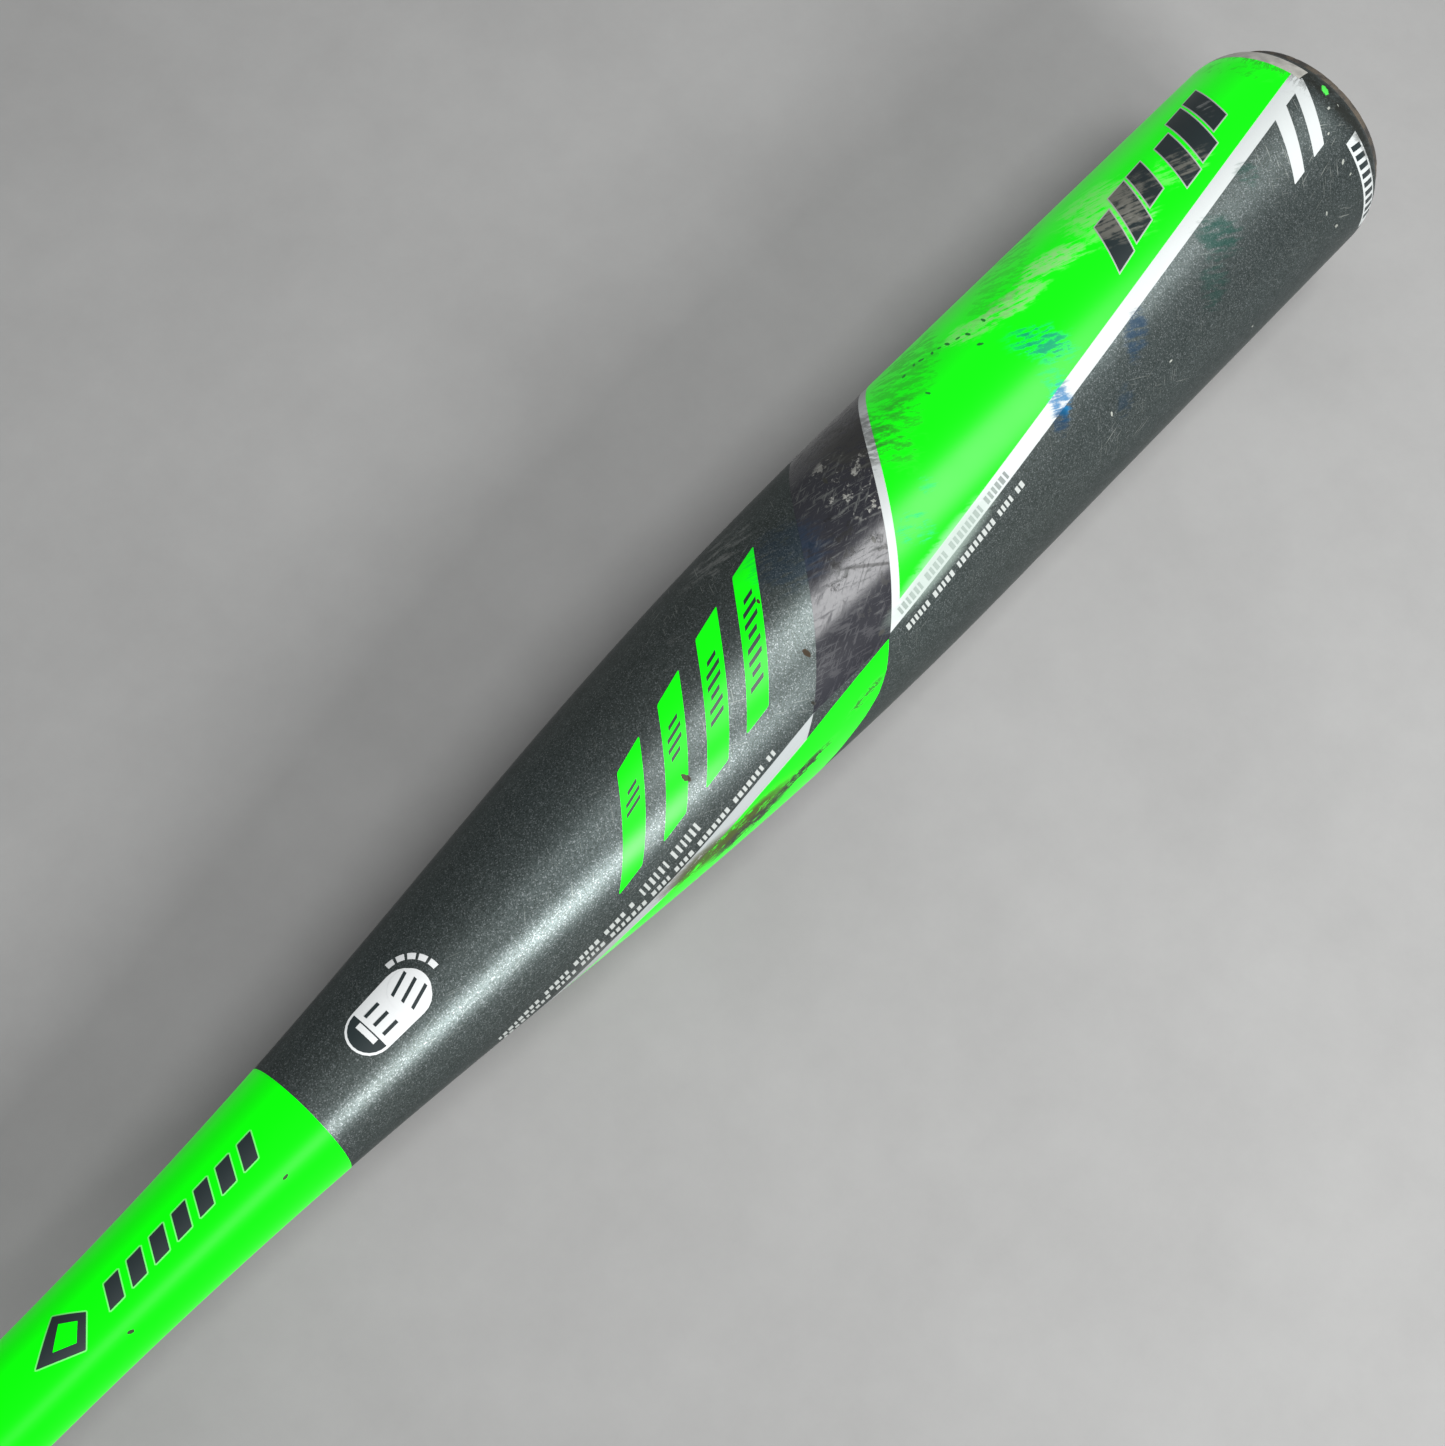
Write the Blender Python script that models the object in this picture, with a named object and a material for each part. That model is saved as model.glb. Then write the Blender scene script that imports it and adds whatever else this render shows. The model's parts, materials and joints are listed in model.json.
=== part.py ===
"""A youth baseball bat, 29 inches long with a 2 1/4 inch barrel, lying on the floor as it rests.

It is built as it comes apart on a bench: a one-piece hollow alloy tube, a moulded end cap held by the tube's
rolled lip, a welded-on knob, and a wrapped grip. Run it with blender --background --python part.py.
Lengths are in metres. A profile point is (station, radius): the station runs along the bat's axis from the
knob's end face, and the turned pieces spin that profile about the axis.
"""

import math

import bmesh
import bpy
from mathutils import Matrix, Vector

MM = 0.001
CLEARANCE = 0.3 * MM

# The whole bat
LENGTH = 736.6 * MM
BARREL_RADIUS = 28.575 * MM
HANDLE_RADIUS = 11.1 * MM

# A turned piece has this many flats, with one facing the floor. Each flat touches the true radius.
FLATS = 32
HALF_FLAT = math.pi / FLATS
FLAT_STRETCH = 1 / math.cos(HALF_FLAT)

# The alloy tube: distances are from the barrel's tip
BARREL_WALL = 1.6 * MM
HANDLE_WALL = 1.75 * MM
TAPER_START = 150.2 * MM
TAPER_END = 444.0 * MM
TAPER_BARREL_PULL = 123.1 * MM
TAPER_HANDLE_PULL = 124.4 * MM
TAPER_STEPS = 16
NOSE_START = 12.5 * MM
NOSE_END = 2.65 * MM
NOSE_HALF_LENGTH = 11.5 * MM
NOSE_DROP = 8.0 * MM
NOSE_STEPS = 7
TUBE_FOOT = 14.0 * MM  # station of the tube's end inside the knob

# The end cap: depths are from the barrel's tip
CAP_FACE_RADIUS = 21.8 * MM
CAP_ROLL_DEPTH = 2.45 * MM
CAP_ROLL_RADIUS = 24.45 * MM
CAP_NECK_DEPTH = 3.75 * MM
CAP_NECK_RADIUS = 23.25 * MM
DISH_RIM_RADIUS = 15.8 * MM
DISH_FLOOR_RADIUS = 13.0 * MM
DISH_DEPTH = 2.8 * MM
CAP_WEB_DEPTH = 5.6 * MM
CAP_WEB_RADIUS = 19.5 * MM
SKIRT_END = 26.0 * MM
SKIRT_BORE_RADIUS = 24.0 * MM
GROOVE_START = 15.5 * MM
GROOVE_END = 21.5 * MM
GROOVE_RADIUS = 25.3 * MM

# The knob and what is welded and plugged into it
KNOB_RADIUS = 24.0 * MM
KNOB_FACE_RADIUS = 20.0 * MM
KNOB_RIM_LENGTH = 9.0 * MM
KNOB_LENGTH = 20.0 * MM
KNOB_NECK_RADIUS = 12.9 * MM
KNOB_BORE_RADIUS = 9.35 * MM
BADGE_SEAT_RADIUS = 12.7 * MM
BADGE_SEAT_DEPTH = 1.9 * MM
BADGE_THICKNESS = 1.3 * MM
BADGE_EDGE = 0.4 * MM
WELD_LENGTH = 3.0 * MM
WELD_HEIGHT = 1.6 * MM
PLUG_END = 27.0 * MM
WEIGHT_LENGTH = 12.0 * MM
CHAMFER = 0.8 * MM

# The grip
GRIP_START = 17.5 * MM
GRIP_COLLAR_RADIUS = 13.5 * MM
GRIP_THICKNESS = 1.5 * MM
GRIP_PITCH = 24.0 * MM
GRIP_LAP = 0.5 * MM
GRIP_RING_STEP = 5.0 * MM
BACKING_THICKNESS = 0.6 * MM
BACKING_START = 24.0 * MM
TAPE_START = 252.0 * MM
TAPE_END = 276.0 * MM
TAPE_THICKNESS = 0.7 * MM

ROUND_EDGE_DEGREES = 35


def from_tip(distance):
    """The station at this distance from the barrel's tip."""
    return LENGTH - distance


def ellipse_arc(centre, half_length, half_height, start_degrees, end_degrees, steps):
    """Profile points on an ellipse, with 0 degrees along the axis towards the tip."""
    points = []
    for step in range(steps + 1):
        angle = math.radians(start_degrees + (end_degrees - start_degrees) * step / steps)
        points.append((centre[0] + half_length * math.cos(angle), centre[1] + half_height * math.sin(angle)))
    return points


def nose_arc(inset):
    """The barrel's rolled end from its lip back to the straight barrel, moved in by inset."""
    points = []
    lip_share = (NOSE_START - NOSE_END) / NOSE_HALF_LENGTH
    for step in range(NOSE_STEPS + 1):
        angle = math.asin(lip_share) * (1 - step / NOSE_STEPS)
        normal = Vector((math.sin(angle) / NOSE_HALF_LENGTH, math.cos(angle) / NOSE_DROP)).normalized()
        along = NOSE_HALF_LENGTH * math.sin(angle) - inset * normal.x
        radius = BARREL_RADIUS - NOSE_DROP * (1 - math.cos(angle)) - inset * normal.y
        points.append((from_tip(NOSE_START) + along, radius))
    return points


def taper_curve(barrel_inset, handle_inset):
    """The S-curve from barrel to handle, a cubic that leaves both ends level."""
    points = []
    pulls = (0, TAPER_BARREL_PULL, TAPER_END - TAPER_START - TAPER_HANDLE_PULL, TAPER_END - TAPER_START)
    for step in range(TAPER_STEPS + 1):
        t = step / TAPER_STEPS
        weights = ((1 - t) ** 3, 3 * t * (1 - t) ** 2, 3 * t * t * (1 - t), t**3)
        along = sum(weight * pull for weight, pull in zip(weights, pulls))
        handle_share = weights[2] + weights[3]
        radius = BARREL_RADIUS - barrel_inset
        radius += handle_share * (HANDLE_RADIUS - handle_inset - radius)
        points.append((from_tip(TAPER_START + along), radius))
    return points


def material(name, colour, roughness, metallic):
    made = bpy.data.materials.new(name)
    made.use_nodes = True
    shader = made.node_tree.nodes["Principled BSDF"]
    shader.inputs["Base Color"].default_value = (*colour, 1)
    shader.inputs["Roughness"].default_value = roughness
    shader.inputs["Metallic"].default_value = metallic
    made.diffuse_color = (*colour, 1)
    return made


def finish_object(name, mesh_work, look, axis_empty):
    """Turns the bmesh into an object on the bat's axis, shaded smooth except at real edges."""
    bmesh.ops.recalc_face_normals(mesh_work, faces=mesh_work.faces)
    mesh = bpy.data.meshes.new(name)
    mesh_work.to_mesh(mesh)
    mesh_work.free()
    mesh.materials.append(look)
    mesh.shade_smooth()
    mesh.set_sharp_from_angle(angle=math.radians(ROUND_EDGE_DEGREES))
    made = bpy.data.objects.new(name, mesh)
    bpy.context.scene.collection.objects.link(made)
    made.parent = axis_empty
    return made


def turned(name, profile, look, axis_empty, closed=True):
    """Spins a profile about the bat's axis. A closed profile makes a ring, an open one starts and ends on it."""
    mesh_work = bmesh.new()
    first_flat = Matrix.Rotation(HALF_FLAT, 3, "X")
    points = [first_flat @ Vector((station, 0, -radius * FLAT_STRETCH)) for station, radius in profile]
    corners = [mesh_work.verts.new(point) for point in points]
    ends = corners[1:] + corners[:1] if closed else corners[1:]
    edges = [mesh_work.edges.new(pair) for pair in zip(corners, ends)]
    bmesh.ops.spin(
        mesh_work,
        geom=corners + edges,
        cent=(0, 0, 0),
        axis=(1, 0, 0),
        angle=math.tau,
        steps=FLATS,
    )
    bmesh.ops.remove_doubles(mesh_work, verts=mesh_work.verts, dist=0.001 * MM)
    return finish_object(name, mesh_work, look, axis_empty)


def shell_outline():
    """The tube's outer side from the lip to its foot in the knob."""
    return nose_arc(0) + taper_curve(0, 0) + [(TUBE_FOOT, HANDLE_RADIUS)]


def make_shell(look, axis_empty):
    inner = nose_arc(BARREL_WALL) + taper_curve(BARREL_WALL, HANDLE_WALL)
    inner += [(TUBE_FOOT, HANDLE_RADIUS - HANDLE_WALL)]
    return turned("alloy_shell", shell_outline() + inner[::-1], look, axis_empty)


def cap_outline():
    """The cap's domed ring outside the lip, from its flat face to the neck."""
    centre = (from_tip(CAP_ROLL_DEPTH), CAP_FACE_RADIUS)
    roll = ellipse_arc(centre, CAP_ROLL_DEPTH, CAP_ROLL_RADIUS - CAP_FACE_RADIUS, 0, 90, 5)
    return roll + [(from_tip(CAP_NECK_DEPTH), CAP_NECK_RADIUS)]


def make_end_cap(look, axis_empty):
    skirt_radius = BARREL_RADIUS - BARREL_WALL - CLEARANCE
    front = [
        (from_tip(DISH_DEPTH), 0),
        (from_tip(DISH_DEPTH), DISH_FLOOR_RADIUS),
        (from_tip(0), DISH_RIM_RADIUS),
    ]
    skirt = [
        (from_tip(GROOVE_START), skirt_radius),
        (from_tip(GROOVE_START), GROOVE_RADIUS),
        (from_tip(GROOVE_END), GROOVE_RADIUS),
        (from_tip(GROOVE_END), skirt_radius),
        (from_tip(SKIRT_END), skirt_radius),
        (from_tip(SKIRT_END), SKIRT_BORE_RADIUS),
        (from_tip(NOSE_START), SKIRT_BORE_RADIUS),
        (from_tip(CAP_WEB_DEPTH), CAP_WEB_RADIUS),
        (from_tip(CAP_WEB_DEPTH), 0),
    ]
    shoulder = nose_arc(BARREL_WALL + CLEARANCE)
    return turned("end_cap", front + cap_outline() + shoulder + skirt, look, axis_empty, closed=False)


def make_cap_bead(look, axis_empty):
    """The adhesive bead that fills the cap's groove against the barrel's bore."""
    outer = BARREL_RADIUS - BARREL_WALL - CLEARANCE
    inner = GROOVE_RADIUS + CLEARANCE
    start = from_tip(GROOVE_START + CLEARANCE)
    end = from_tip(GROOVE_END - CLEARANCE)
    return turned("end_cap_adhesive", [(start, inner), (start, outer), (end, outer), (end, inner)], look, axis_empty)


def knob_outline():
    """The knob's outer side, from its flat end face over the rim to the neck."""
    rim_height = KNOB_RADIUS - KNOB_FACE_RADIUS
    rim_centre = (KNOB_RIM_LENGTH / 2, KNOB_FACE_RADIUS)
    rim = ellipse_arc(rim_centre, KNOB_RIM_LENGTH / 2, rim_height, 180, 0, 8)
    flare_centre = (KNOB_LENGTH, KNOB_FACE_RADIUS)
    flare_height = KNOB_FACE_RADIUS - KNOB_NECK_RADIUS
    flare = ellipse_arc(flare_centre, KNOB_LENGTH - KNOB_RIM_LENGTH, flare_height, 180, 270, 7)
    return rim + flare[1:]


def make_knob(look, axis_empty):
    socket_radius = HANDLE_RADIUS + CLEARANCE
    socket_floor = TUBE_FOOT - CLEARANCE
    inside = [
        (KNOB_LENGTH, socket_radius),
        (socket_floor, socket_radius),
        (socket_floor, KNOB_BORE_RADIUS),
        (BADGE_SEAT_DEPTH, KNOB_BORE_RADIUS),
        (BADGE_SEAT_DEPTH, BADGE_SEAT_RADIUS),
        (0, BADGE_SEAT_RADIUS),
    ]
    return turned("knob", knob_outline() + inside, look, axis_empty)


def make_weld(look, axis_empty):
    """The weld bead between the knob's neck and the tube, under the grip."""
    corner = (KNOB_LENGTH + CLEARANCE, HANDLE_RADIUS + CLEARANCE)
    bead = ellipse_arc(corner, WELD_LENGTH, WELD_HEIGHT, 90, 0, 4)
    return turned("knob_weld", [corner] + bead, look, axis_empty)


def make_slug(name, start, end, look, axis_empty):
    """A chamfered round plug in the handle's bore."""
    radius = KNOB_BORE_RADIUS - CLEARANCE
    profile = [
        (start, 0),
        (start, radius - CHAMFER),
        (start + CHAMFER, radius),
        (end - CHAMFER, radius),
        (end, radius - CHAMFER),
        (end, 0),
    ]
    return turned(name, profile, look, axis_empty, closed=False)


def make_badge(look, axis_empty):
    """The round badge in the knob's seat, its face just below the knob's end face."""
    radius = BADGE_SEAT_RADIUS - CLEARANCE
    back = BADGE_SEAT_DEPTH - CLEARANCE
    front = back - BADGE_THICKNESS
    profile = [(front, 0), (front, radius - BADGE_EDGE), (front + BADGE_EDGE, radius), (back, radius), (back, 0)]
    return turned("knob_badge", profile, look, axis_empty, closed=False)


def backing_radius():
    return HANDLE_RADIUS + CLEARANCE + BACKING_THICKNESS


def make_backing(look, axis_empty):
    """The adhesive-backed underlay between the tube and the grip."""
    inner = HANDLE_RADIUS + CLEARANCE
    outer = backing_radius()
    end = TAPE_START - CLEARANCE
    profile = [(BACKING_START, inner), (BACKING_START, outer), (end, outer), (end, inner)]
    return turned("grip_backing", profile, look, axis_empty)


def grip_bore(station):
    """The grip's inner radius: wide over the knob's neck and the weld, then down on the underlay."""
    handle_bore = backing_radius() + CLEARANCE
    slope_start = KNOB_LENGTH + CLEARANCE + WELD_LENGTH
    share = min(max((station - slope_start) / WELD_LENGTH, 0), 1)
    return GRIP_COLLAR_RADIUS + share * (handle_bore - GRIP_COLLAR_RADIUS)


def grip_radius(station, turn):
    """The grip's outer radius: each turn of the strip rises slowly and drops at its overlapped edge."""
    lap = GRIP_LAP * ((station - GRIP_START) / GRIP_PITCH - turn) % GRIP_LAP
    return grip_bore(station) + GRIP_THICKNESS + lap


def make_grip(look, axis_empty):
    """The spiral-wrapped grip as one body, ring by ring, with the strip's overlap winding round it."""
    end = TAPE_START - CLEARANCE
    ring_count = round((end - GRIP_START) / GRIP_RING_STEP)
    outer_stations = [GRIP_START + (end - GRIP_START) * ring / ring_count for ring in range(ring_count + 1)]
    slope_start = KNOB_LENGTH + CLEARANCE + WELD_LENGTH
    inner_stations = [end, slope_start + WELD_LENGTH, slope_start, GRIP_START]
    mesh_work = bmesh.new()
    rings = []
    for station in outer_stations:
        ring = []
        for flat in range(FLATS):
            turn = (flat + 0.5) / FLATS
            radius = grip_radius(station, turn) * FLAT_STRETCH
            around = Matrix.Rotation(turn * math.tau, 3, "X")
            ring.append(mesh_work.verts.new(around @ Vector((station, 0, -radius))))
        rings.append(ring)
    for station in inner_stations:
        ring = []
        for flat in range(FLATS):
            around = Matrix.Rotation((flat + 0.5) * math.tau / FLATS, 3, "X")
            point = Vector((station, 0, -grip_bore(station) * FLAT_STRETCH))
            ring.append(mesh_work.verts.new(around @ point))
        rings.append(ring)
    for first, second in zip(rings, rings[1:] + rings[:1]):
        for flat in range(FLATS):
            after = (flat + 1) % FLATS
            mesh_work.faces.new((first[flat], first[after], second[after], second[flat]))
    return finish_object("grip_wrap", mesh_work, look, axis_empty)


def make_finish_tape(look, axis_empty):
    """The band of tape that closes the grip's top end onto the bare handle."""
    inner = HANDLE_RADIUS + CLEARANCE
    outer = grip_bore(TAPE_START) + GRIP_THICKNESS
    shoulder = (TAPE_START + TAPE_END) / 2
    profile = [
        (TAPE_START, inner),
        (TAPE_START, outer),
        (shoulder, outer),
        (shoulder + WELD_LENGTH, inner + TAPE_THICKNESS),
        (TAPE_END, inner + TAPE_THICKNESS),
        (TAPE_END, inner),
    ]
    return turned("grip_finish_tape", profile, look, axis_empty)


def rest_pose(axis_empty):
    """Lays the bat down on its barrel and its knob, with the middle of its length over the origin."""
    outline = knob_outline() + shell_outline() + cap_outline()
    knob_contact = (KNOB_RIM_LENGTH / 2, KNOB_RADIUS)
    slopes = []
    for station, radius in shell_outline():
        slopes.append((radius - knob_contact[1]) / (station - knob_contact[0]))
    tilt = math.atan(max(slopes))
    lowest = min(station * math.sin(tilt) - radius * math.cos(tilt) for station, radius in outline)
    near_end = min(station * math.cos(tilt) - radius * math.sin(tilt) for station, radius in outline)
    far_end = max(station * math.cos(tilt) + radius * math.sin(tilt) for station, radius in outline)
    axis_empty.location = (-(near_end + far_end) / 2, 0, -lowest)
    axis_empty.rotation_euler = (0, -tilt, 0)


def main():
    for old in list(bpy.data.objects):
        bpy.data.objects.remove(old, do_unlink=True)

    painted_alloy = material("painted_alloy", (0.055, 0.068, 0.066), 0.3, 0.6)
    cap_plastic = material("cap_plastic", (0.03, 0.028, 0.025), 0.6, 0)
    adhesive = material("adhesive", (0.5, 0.42, 0.25), 0.5, 0)
    bare_alloy = material("bare_alloy", (0.6, 0.61, 0.62), 0.35, 1)
    plug_rubber = material("plug_rubber", (0.02, 0.02, 0.02), 0.8, 0)
    weight_metal = material("weight_metal", (0.35, 0.34, 0.33), 0.5, 1)
    badge_plastic = material("badge_plastic", (0.03, 0.75, 0.05), 0.3, 0)
    grip_foam = material("grip_foam", (0.02, 0.02, 0.022), 0.75, 0)
    underlay = material("underlay", (0.55, 0.53, 0.48), 0.9, 0)
    finish_tape = material("finish_tape", (0.015, 0.015, 0.016), 0.45, 0)

    axis_empty = bpy.data.objects.new("bat_axis", None)
    bpy.context.scene.collection.objects.link(axis_empty)
    rest_pose(axis_empty)

    make_shell(painted_alloy, axis_empty)
    make_end_cap(cap_plastic, axis_empty)
    make_cap_bead(adhesive, axis_empty)
    make_knob(painted_alloy, axis_empty)
    make_weld(bare_alloy, axis_empty)
    plug_start = BADGE_SEAT_DEPTH + CLEARANCE
    make_slug("knob_plug", plug_start, PLUG_END, plug_rubber, axis_empty)
    weight_start = PLUG_END + CLEARANCE
    make_slug("balance_weight", weight_start, weight_start + WEIGHT_LENGTH, weight_metal, axis_empty)
    make_badge(badge_plastic, axis_empty)
    make_backing(underlay, axis_empty)
    make_grip(grip_foam, axis_empty)
    make_finish_tape(finish_tape, axis_empty)


main()
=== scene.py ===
"""The looks of a youth baseball bat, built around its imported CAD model.

A spot on the bat is (tip, angle): millimetres back from the barrel's tip, and degrees round the axis. Angle 0
faces the camera, positive angles turn up and away from it, and negative angles turn down towards the viewer.
"""

import json
import math
import random

import bmesh
import bpy
from mathutils import Matrix, Vector
from mathutils import noise as steady_noise


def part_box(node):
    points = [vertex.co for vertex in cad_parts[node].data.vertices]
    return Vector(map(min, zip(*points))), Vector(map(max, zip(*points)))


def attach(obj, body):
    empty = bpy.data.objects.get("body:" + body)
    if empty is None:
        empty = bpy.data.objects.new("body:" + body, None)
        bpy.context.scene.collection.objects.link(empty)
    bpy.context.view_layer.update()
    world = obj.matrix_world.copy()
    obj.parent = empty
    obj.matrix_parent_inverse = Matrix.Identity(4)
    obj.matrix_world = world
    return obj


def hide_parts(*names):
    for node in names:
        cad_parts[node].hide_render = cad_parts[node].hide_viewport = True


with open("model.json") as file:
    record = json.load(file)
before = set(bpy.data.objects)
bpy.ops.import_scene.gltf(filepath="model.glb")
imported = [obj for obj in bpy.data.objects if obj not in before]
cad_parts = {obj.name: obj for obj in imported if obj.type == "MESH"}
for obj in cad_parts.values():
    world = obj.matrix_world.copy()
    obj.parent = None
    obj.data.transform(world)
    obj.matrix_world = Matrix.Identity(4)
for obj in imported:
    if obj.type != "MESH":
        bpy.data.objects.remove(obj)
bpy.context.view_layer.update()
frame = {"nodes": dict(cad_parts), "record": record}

MM = 0.001

# ---- The bat's own frame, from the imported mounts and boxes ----
MOUNTS = {mount["name"]: mount for mount in frame["record"]["mounts"]}
CAP_FACE = Vector(MOUNTS["cap_face"]["pos_m"])
KNOB_FACE = Vector(MOUNTS["knob_face"]["pos_m"])
AXIS = Vector(MOUNTS["cap_face"]["axis"]).normalized()
TIP = Vector((CAP_FACE.x, 0, CAP_FACE.z))
LENGTH = (TIP - Vector((KNOB_FACE.x, 0, KNOB_FACE.z))).length / MM
BARREL_RADIUS = (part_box("alloy_shell")[1].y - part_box("alloy_shell")[0].y) / 2 / MM

# ---- The bat's outline, in millimetres from the tip, as in the CAD ----
HANDLE_RADIUS = 11.1
BARREL_WALL = 1.6
HANDLE_WALL = 1.75
TUBE_FOOT = LENGTH - 14.0
TAPER_START = 150.2
TAPER_END = 444.0
TAPER_BARREL_PULL = 123.1
TAPER_HANDLE_PULL = 124.4
NOSE_START = 12.5
NOSE_END = 2.65
NOSE_HALF_LENGTH = 11.5
NOSE_DROP = 6.9

# ---- The camera: a phone held over the handle side, looking along the bat a little ----
VIEW_LEAN = math.radians(12)
CAMERA_TIP_DISTANCE = 436.4
CAMERA_HEIGHT = 594.6
AIM_TIP_DISTANCE = 222.9
AIM_SIDE = -3.5
BAT_ANGLE_IN_VIEW = math.radians(44.9)
CAMERA_LENS = 69.27

UP = AXIS.cross(Vector((0, 1, 0))).normalized()
TOWARDS_CAMERA = math.cos(VIEW_LEAN) * UP - math.sin(VIEW_LEAN) * Vector((0, 1, 0))
AWAY = AXIS.cross(TOWARDS_CAMERA) * -1

# ---- Paint films ----
FILM_LIFT = 0.03
FILM_STEP = 0.03
FILM_ROOT = -0.05
FILM_GRID_TIP = 3.0
FILM_GRID_NOSE = 0.5
FILM_GRID_ANGLE = 3.0


def taper_point(t):
    """(tip distance, radius) on the S-curve from barrel to handle."""
    weights = (3 * t * (1 - t) ** 2, 3 * t * t * (1 - t), t**3)
    span = TAPER_END - TAPER_START
    along = weights[0] * TAPER_BARREL_PULL + weights[1] * (span - TAPER_HANDLE_PULL) + weights[2] * span
    radius = BARREL_RADIUS + (weights[1] + weights[2]) * (HANDLE_RADIUS - BARREL_RADIUS)
    return TAPER_START + along, radius


def surface_radius(tip):
    """The tube's outer radius at this distance from the tip."""
    if tip < NOSE_START:
        share = min((NOSE_START - tip) / NOSE_HALF_LENGTH, 1)
        return BARREL_RADIUS - NOSE_DROP * (1 - math.sqrt(1 - share * share))
    if tip <= TAPER_START:
        return BARREL_RADIUS
    if tip >= TAPER_END:
        return HANDLE_RADIUS
    low, high = 0.0, 1.0
    for _ in range(30):
        middle = (low + high) / 2
        if taper_point(middle)[0] < tip:
            low = middle
        else:
            high = middle
    return taper_point(low)[1]


def outward(angle):
    """The direction straight out from the axis at this angle in degrees."""
    turn = math.radians(angle)
    return math.cos(turn) * TOWARDS_CAMERA + math.sin(turn) * AWAY


def bat_point(tip, radius, angle):
    """A world point from a tip distance and a radius in millimetres."""
    return TIP - AXIS * tip * MM + outward(angle) * radius * MM


def surface_normal(tip, angle):
    slope = (surface_radius(tip + 0.05) - surface_radius(tip - 0.05)) / 0.1
    return (outward(angle) + slope * AXIS).normalized()


def surface_point(tip, angle, lift=0.0):
    """A world point on the tube's surface, lifted along its normal."""
    return bat_point(tip, surface_radius(tip), angle) + surface_normal(tip, angle) * lift * MM


def add_piece(name, mesh, look, nodes=()):
    """Links the piece, hides the CAD nodes that it stands in for, and puts it on the bat's one body."""
    mesh.materials.append(look)
    piece = bpy.data.objects.new(name, mesh)
    bpy.context.scene.collection.objects.link(piece)
    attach(piece, "root")
    for node in nodes:
        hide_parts(node)
    return piece


def bridge(work, rings, segments):
    """Faces between each ring and the next, where a ring may be a single point on the axis."""
    for first, second in zip(rings, rings[1:]):
        for step in range(segments):
            after = (step + 1) % segments
            corners = (
                first[step % len(first)], first[after % len(first)],
                second[after % len(second)], second[step % len(second)],
            )
            work.faces.new(list(dict.fromkeys(corners)))


def finished_mesh(work, name, sharp_degrees):
    """A smooth mesh with outward normals from the bmesh, with sharp edges above this angle."""
    bmesh.ops.recalc_face_normals(work, faces=work.faces)
    mesh = bpy.data.meshes.new(name)
    work.to_mesh(mesh)
    work.free()
    mesh.shade_smooth()
    mesh.set_sharp_from_angle(angle=math.radians(sharp_degrees))
    return mesh


def turned_mesh(name, profile, segments, sharp_degrees, wobble=None):
    """A mesh from a closed profile of (tip, radius) spun round the bat's axis."""
    work = bmesh.new()
    rings = []
    for tip, radius in profile:
        ring = []
        for step in range(segments):
            angle = 360 * step / segments
            shift = wobble(tip, radius, angle) if wobble else 0
            ring.append(work.verts.new(bat_point(tip, radius + shift, angle)))
        rings.append(ring)
    bridge(work, rings + rings[:1], segments)
    return finished_mesh(work, name, sharp_degrees)


def disc_mesh(name, profile, segments, sharp_degrees, place):
    """A mesh from an open profile with its ends on the axis; place gives each corner's world point."""
    work = bmesh.new()
    rings = []
    for depth, radius in profile:
        count = segments if radius else 1
        rings.append([work.verts.new(place(depth, radius, 360 * step / segments)) for step in range(count)])
    bridge(work, rings, segments)
    return finished_mesh(work, name, sharp_degrees)


# ---- Material helpers ----


def new_material(name):
    made = bpy.data.materials.new(name)
    made.use_nodes = True
    return made, made.node_tree, made.node_tree.nodes["Principled BSDF"]


def set_inputs(tree, made, **inputs):
    """Links or sets a node's inputs: i2 is its third, and From_Min is the one called From Min."""
    for key, value in inputs.items():
        socket = made.inputs[int(key[1:]) if key[1:].isdigit() else key.replace("_", " ")]
        if isinstance(value, bpy.types.NodeSocket):
            tree.links.new(value, socket)
        else:
            socket.default_value = value


def node(tree, kind, settings=None, **inputs):
    """Adds a node, sets its properties and links or sets its inputs."""
    made = tree.nodes.new(kind)
    for key, value in (settings or {}).items():
        setattr(made, key, value)
    set_inputs(tree, made, **inputs)
    return made


def math_node(tree, operation, first, second=0.0, clamp=False):
    settings = {"operation": operation, "use_clamp": clamp}
    return node(tree, "ShaderNodeMath", settings, i0=first, i1=second).outputs[0]


def times(tree, first, second, clamp=False):
    return math_node(tree, "MULTIPLY", first, second, clamp)


def plus(tree, first, second, clamp=False):
    return math_node(tree, "ADD", first, second, clamp)


def minus(tree, first, second):
    return math_node(tree, "SUBTRACT", first, second)


def most(tree, first, second):
    return math_node(tree, "MAXIMUM", first, second)


def rgb(colour):
    return (*colour, 1)


def mix_colour(tree, factor, first, second):
    """The first colour where the factor is 0 and the second where it is 1; each is a socket or (r, g, b)."""
    first, second = (rgb(colour) if isinstance(colour, tuple) else colour for colour in (first, second))
    settings = {"data_type": "RGBA", "clamp_factor": True}
    return node(tree, "ShaderNodeMix", settings, i0=factor, i6=first, i7=second).outputs[2]


def bump(tree, height, strength, distance):
    return node(tree, "ShaderNodeBump", Height=height, Strength=strength, Distance=distance).outputs[0]


def vector_node(tree, operation, first, second=(0, 0, 0)):
    return node(tree, "ShaderNodeVectorMath", {"operation": operation}, i0=first, i1=second)


def turned_vector(tree, kind, vector, turn, **inputs):
    """The vector turned back by this many degrees."""
    settings = {"rotation_type": kind}
    inputs["Angle"] = math.radians(-turn)
    return node(tree, "ShaderNodeVectorRotate", settings, Vector=vector, **inputs).outputs[0]


def place_of(tree):
    """The point being shaded, in metres in the bat's frame at rest."""
    return node(tree, "ShaderNodeTexCoord").outputs["Object"]


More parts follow.
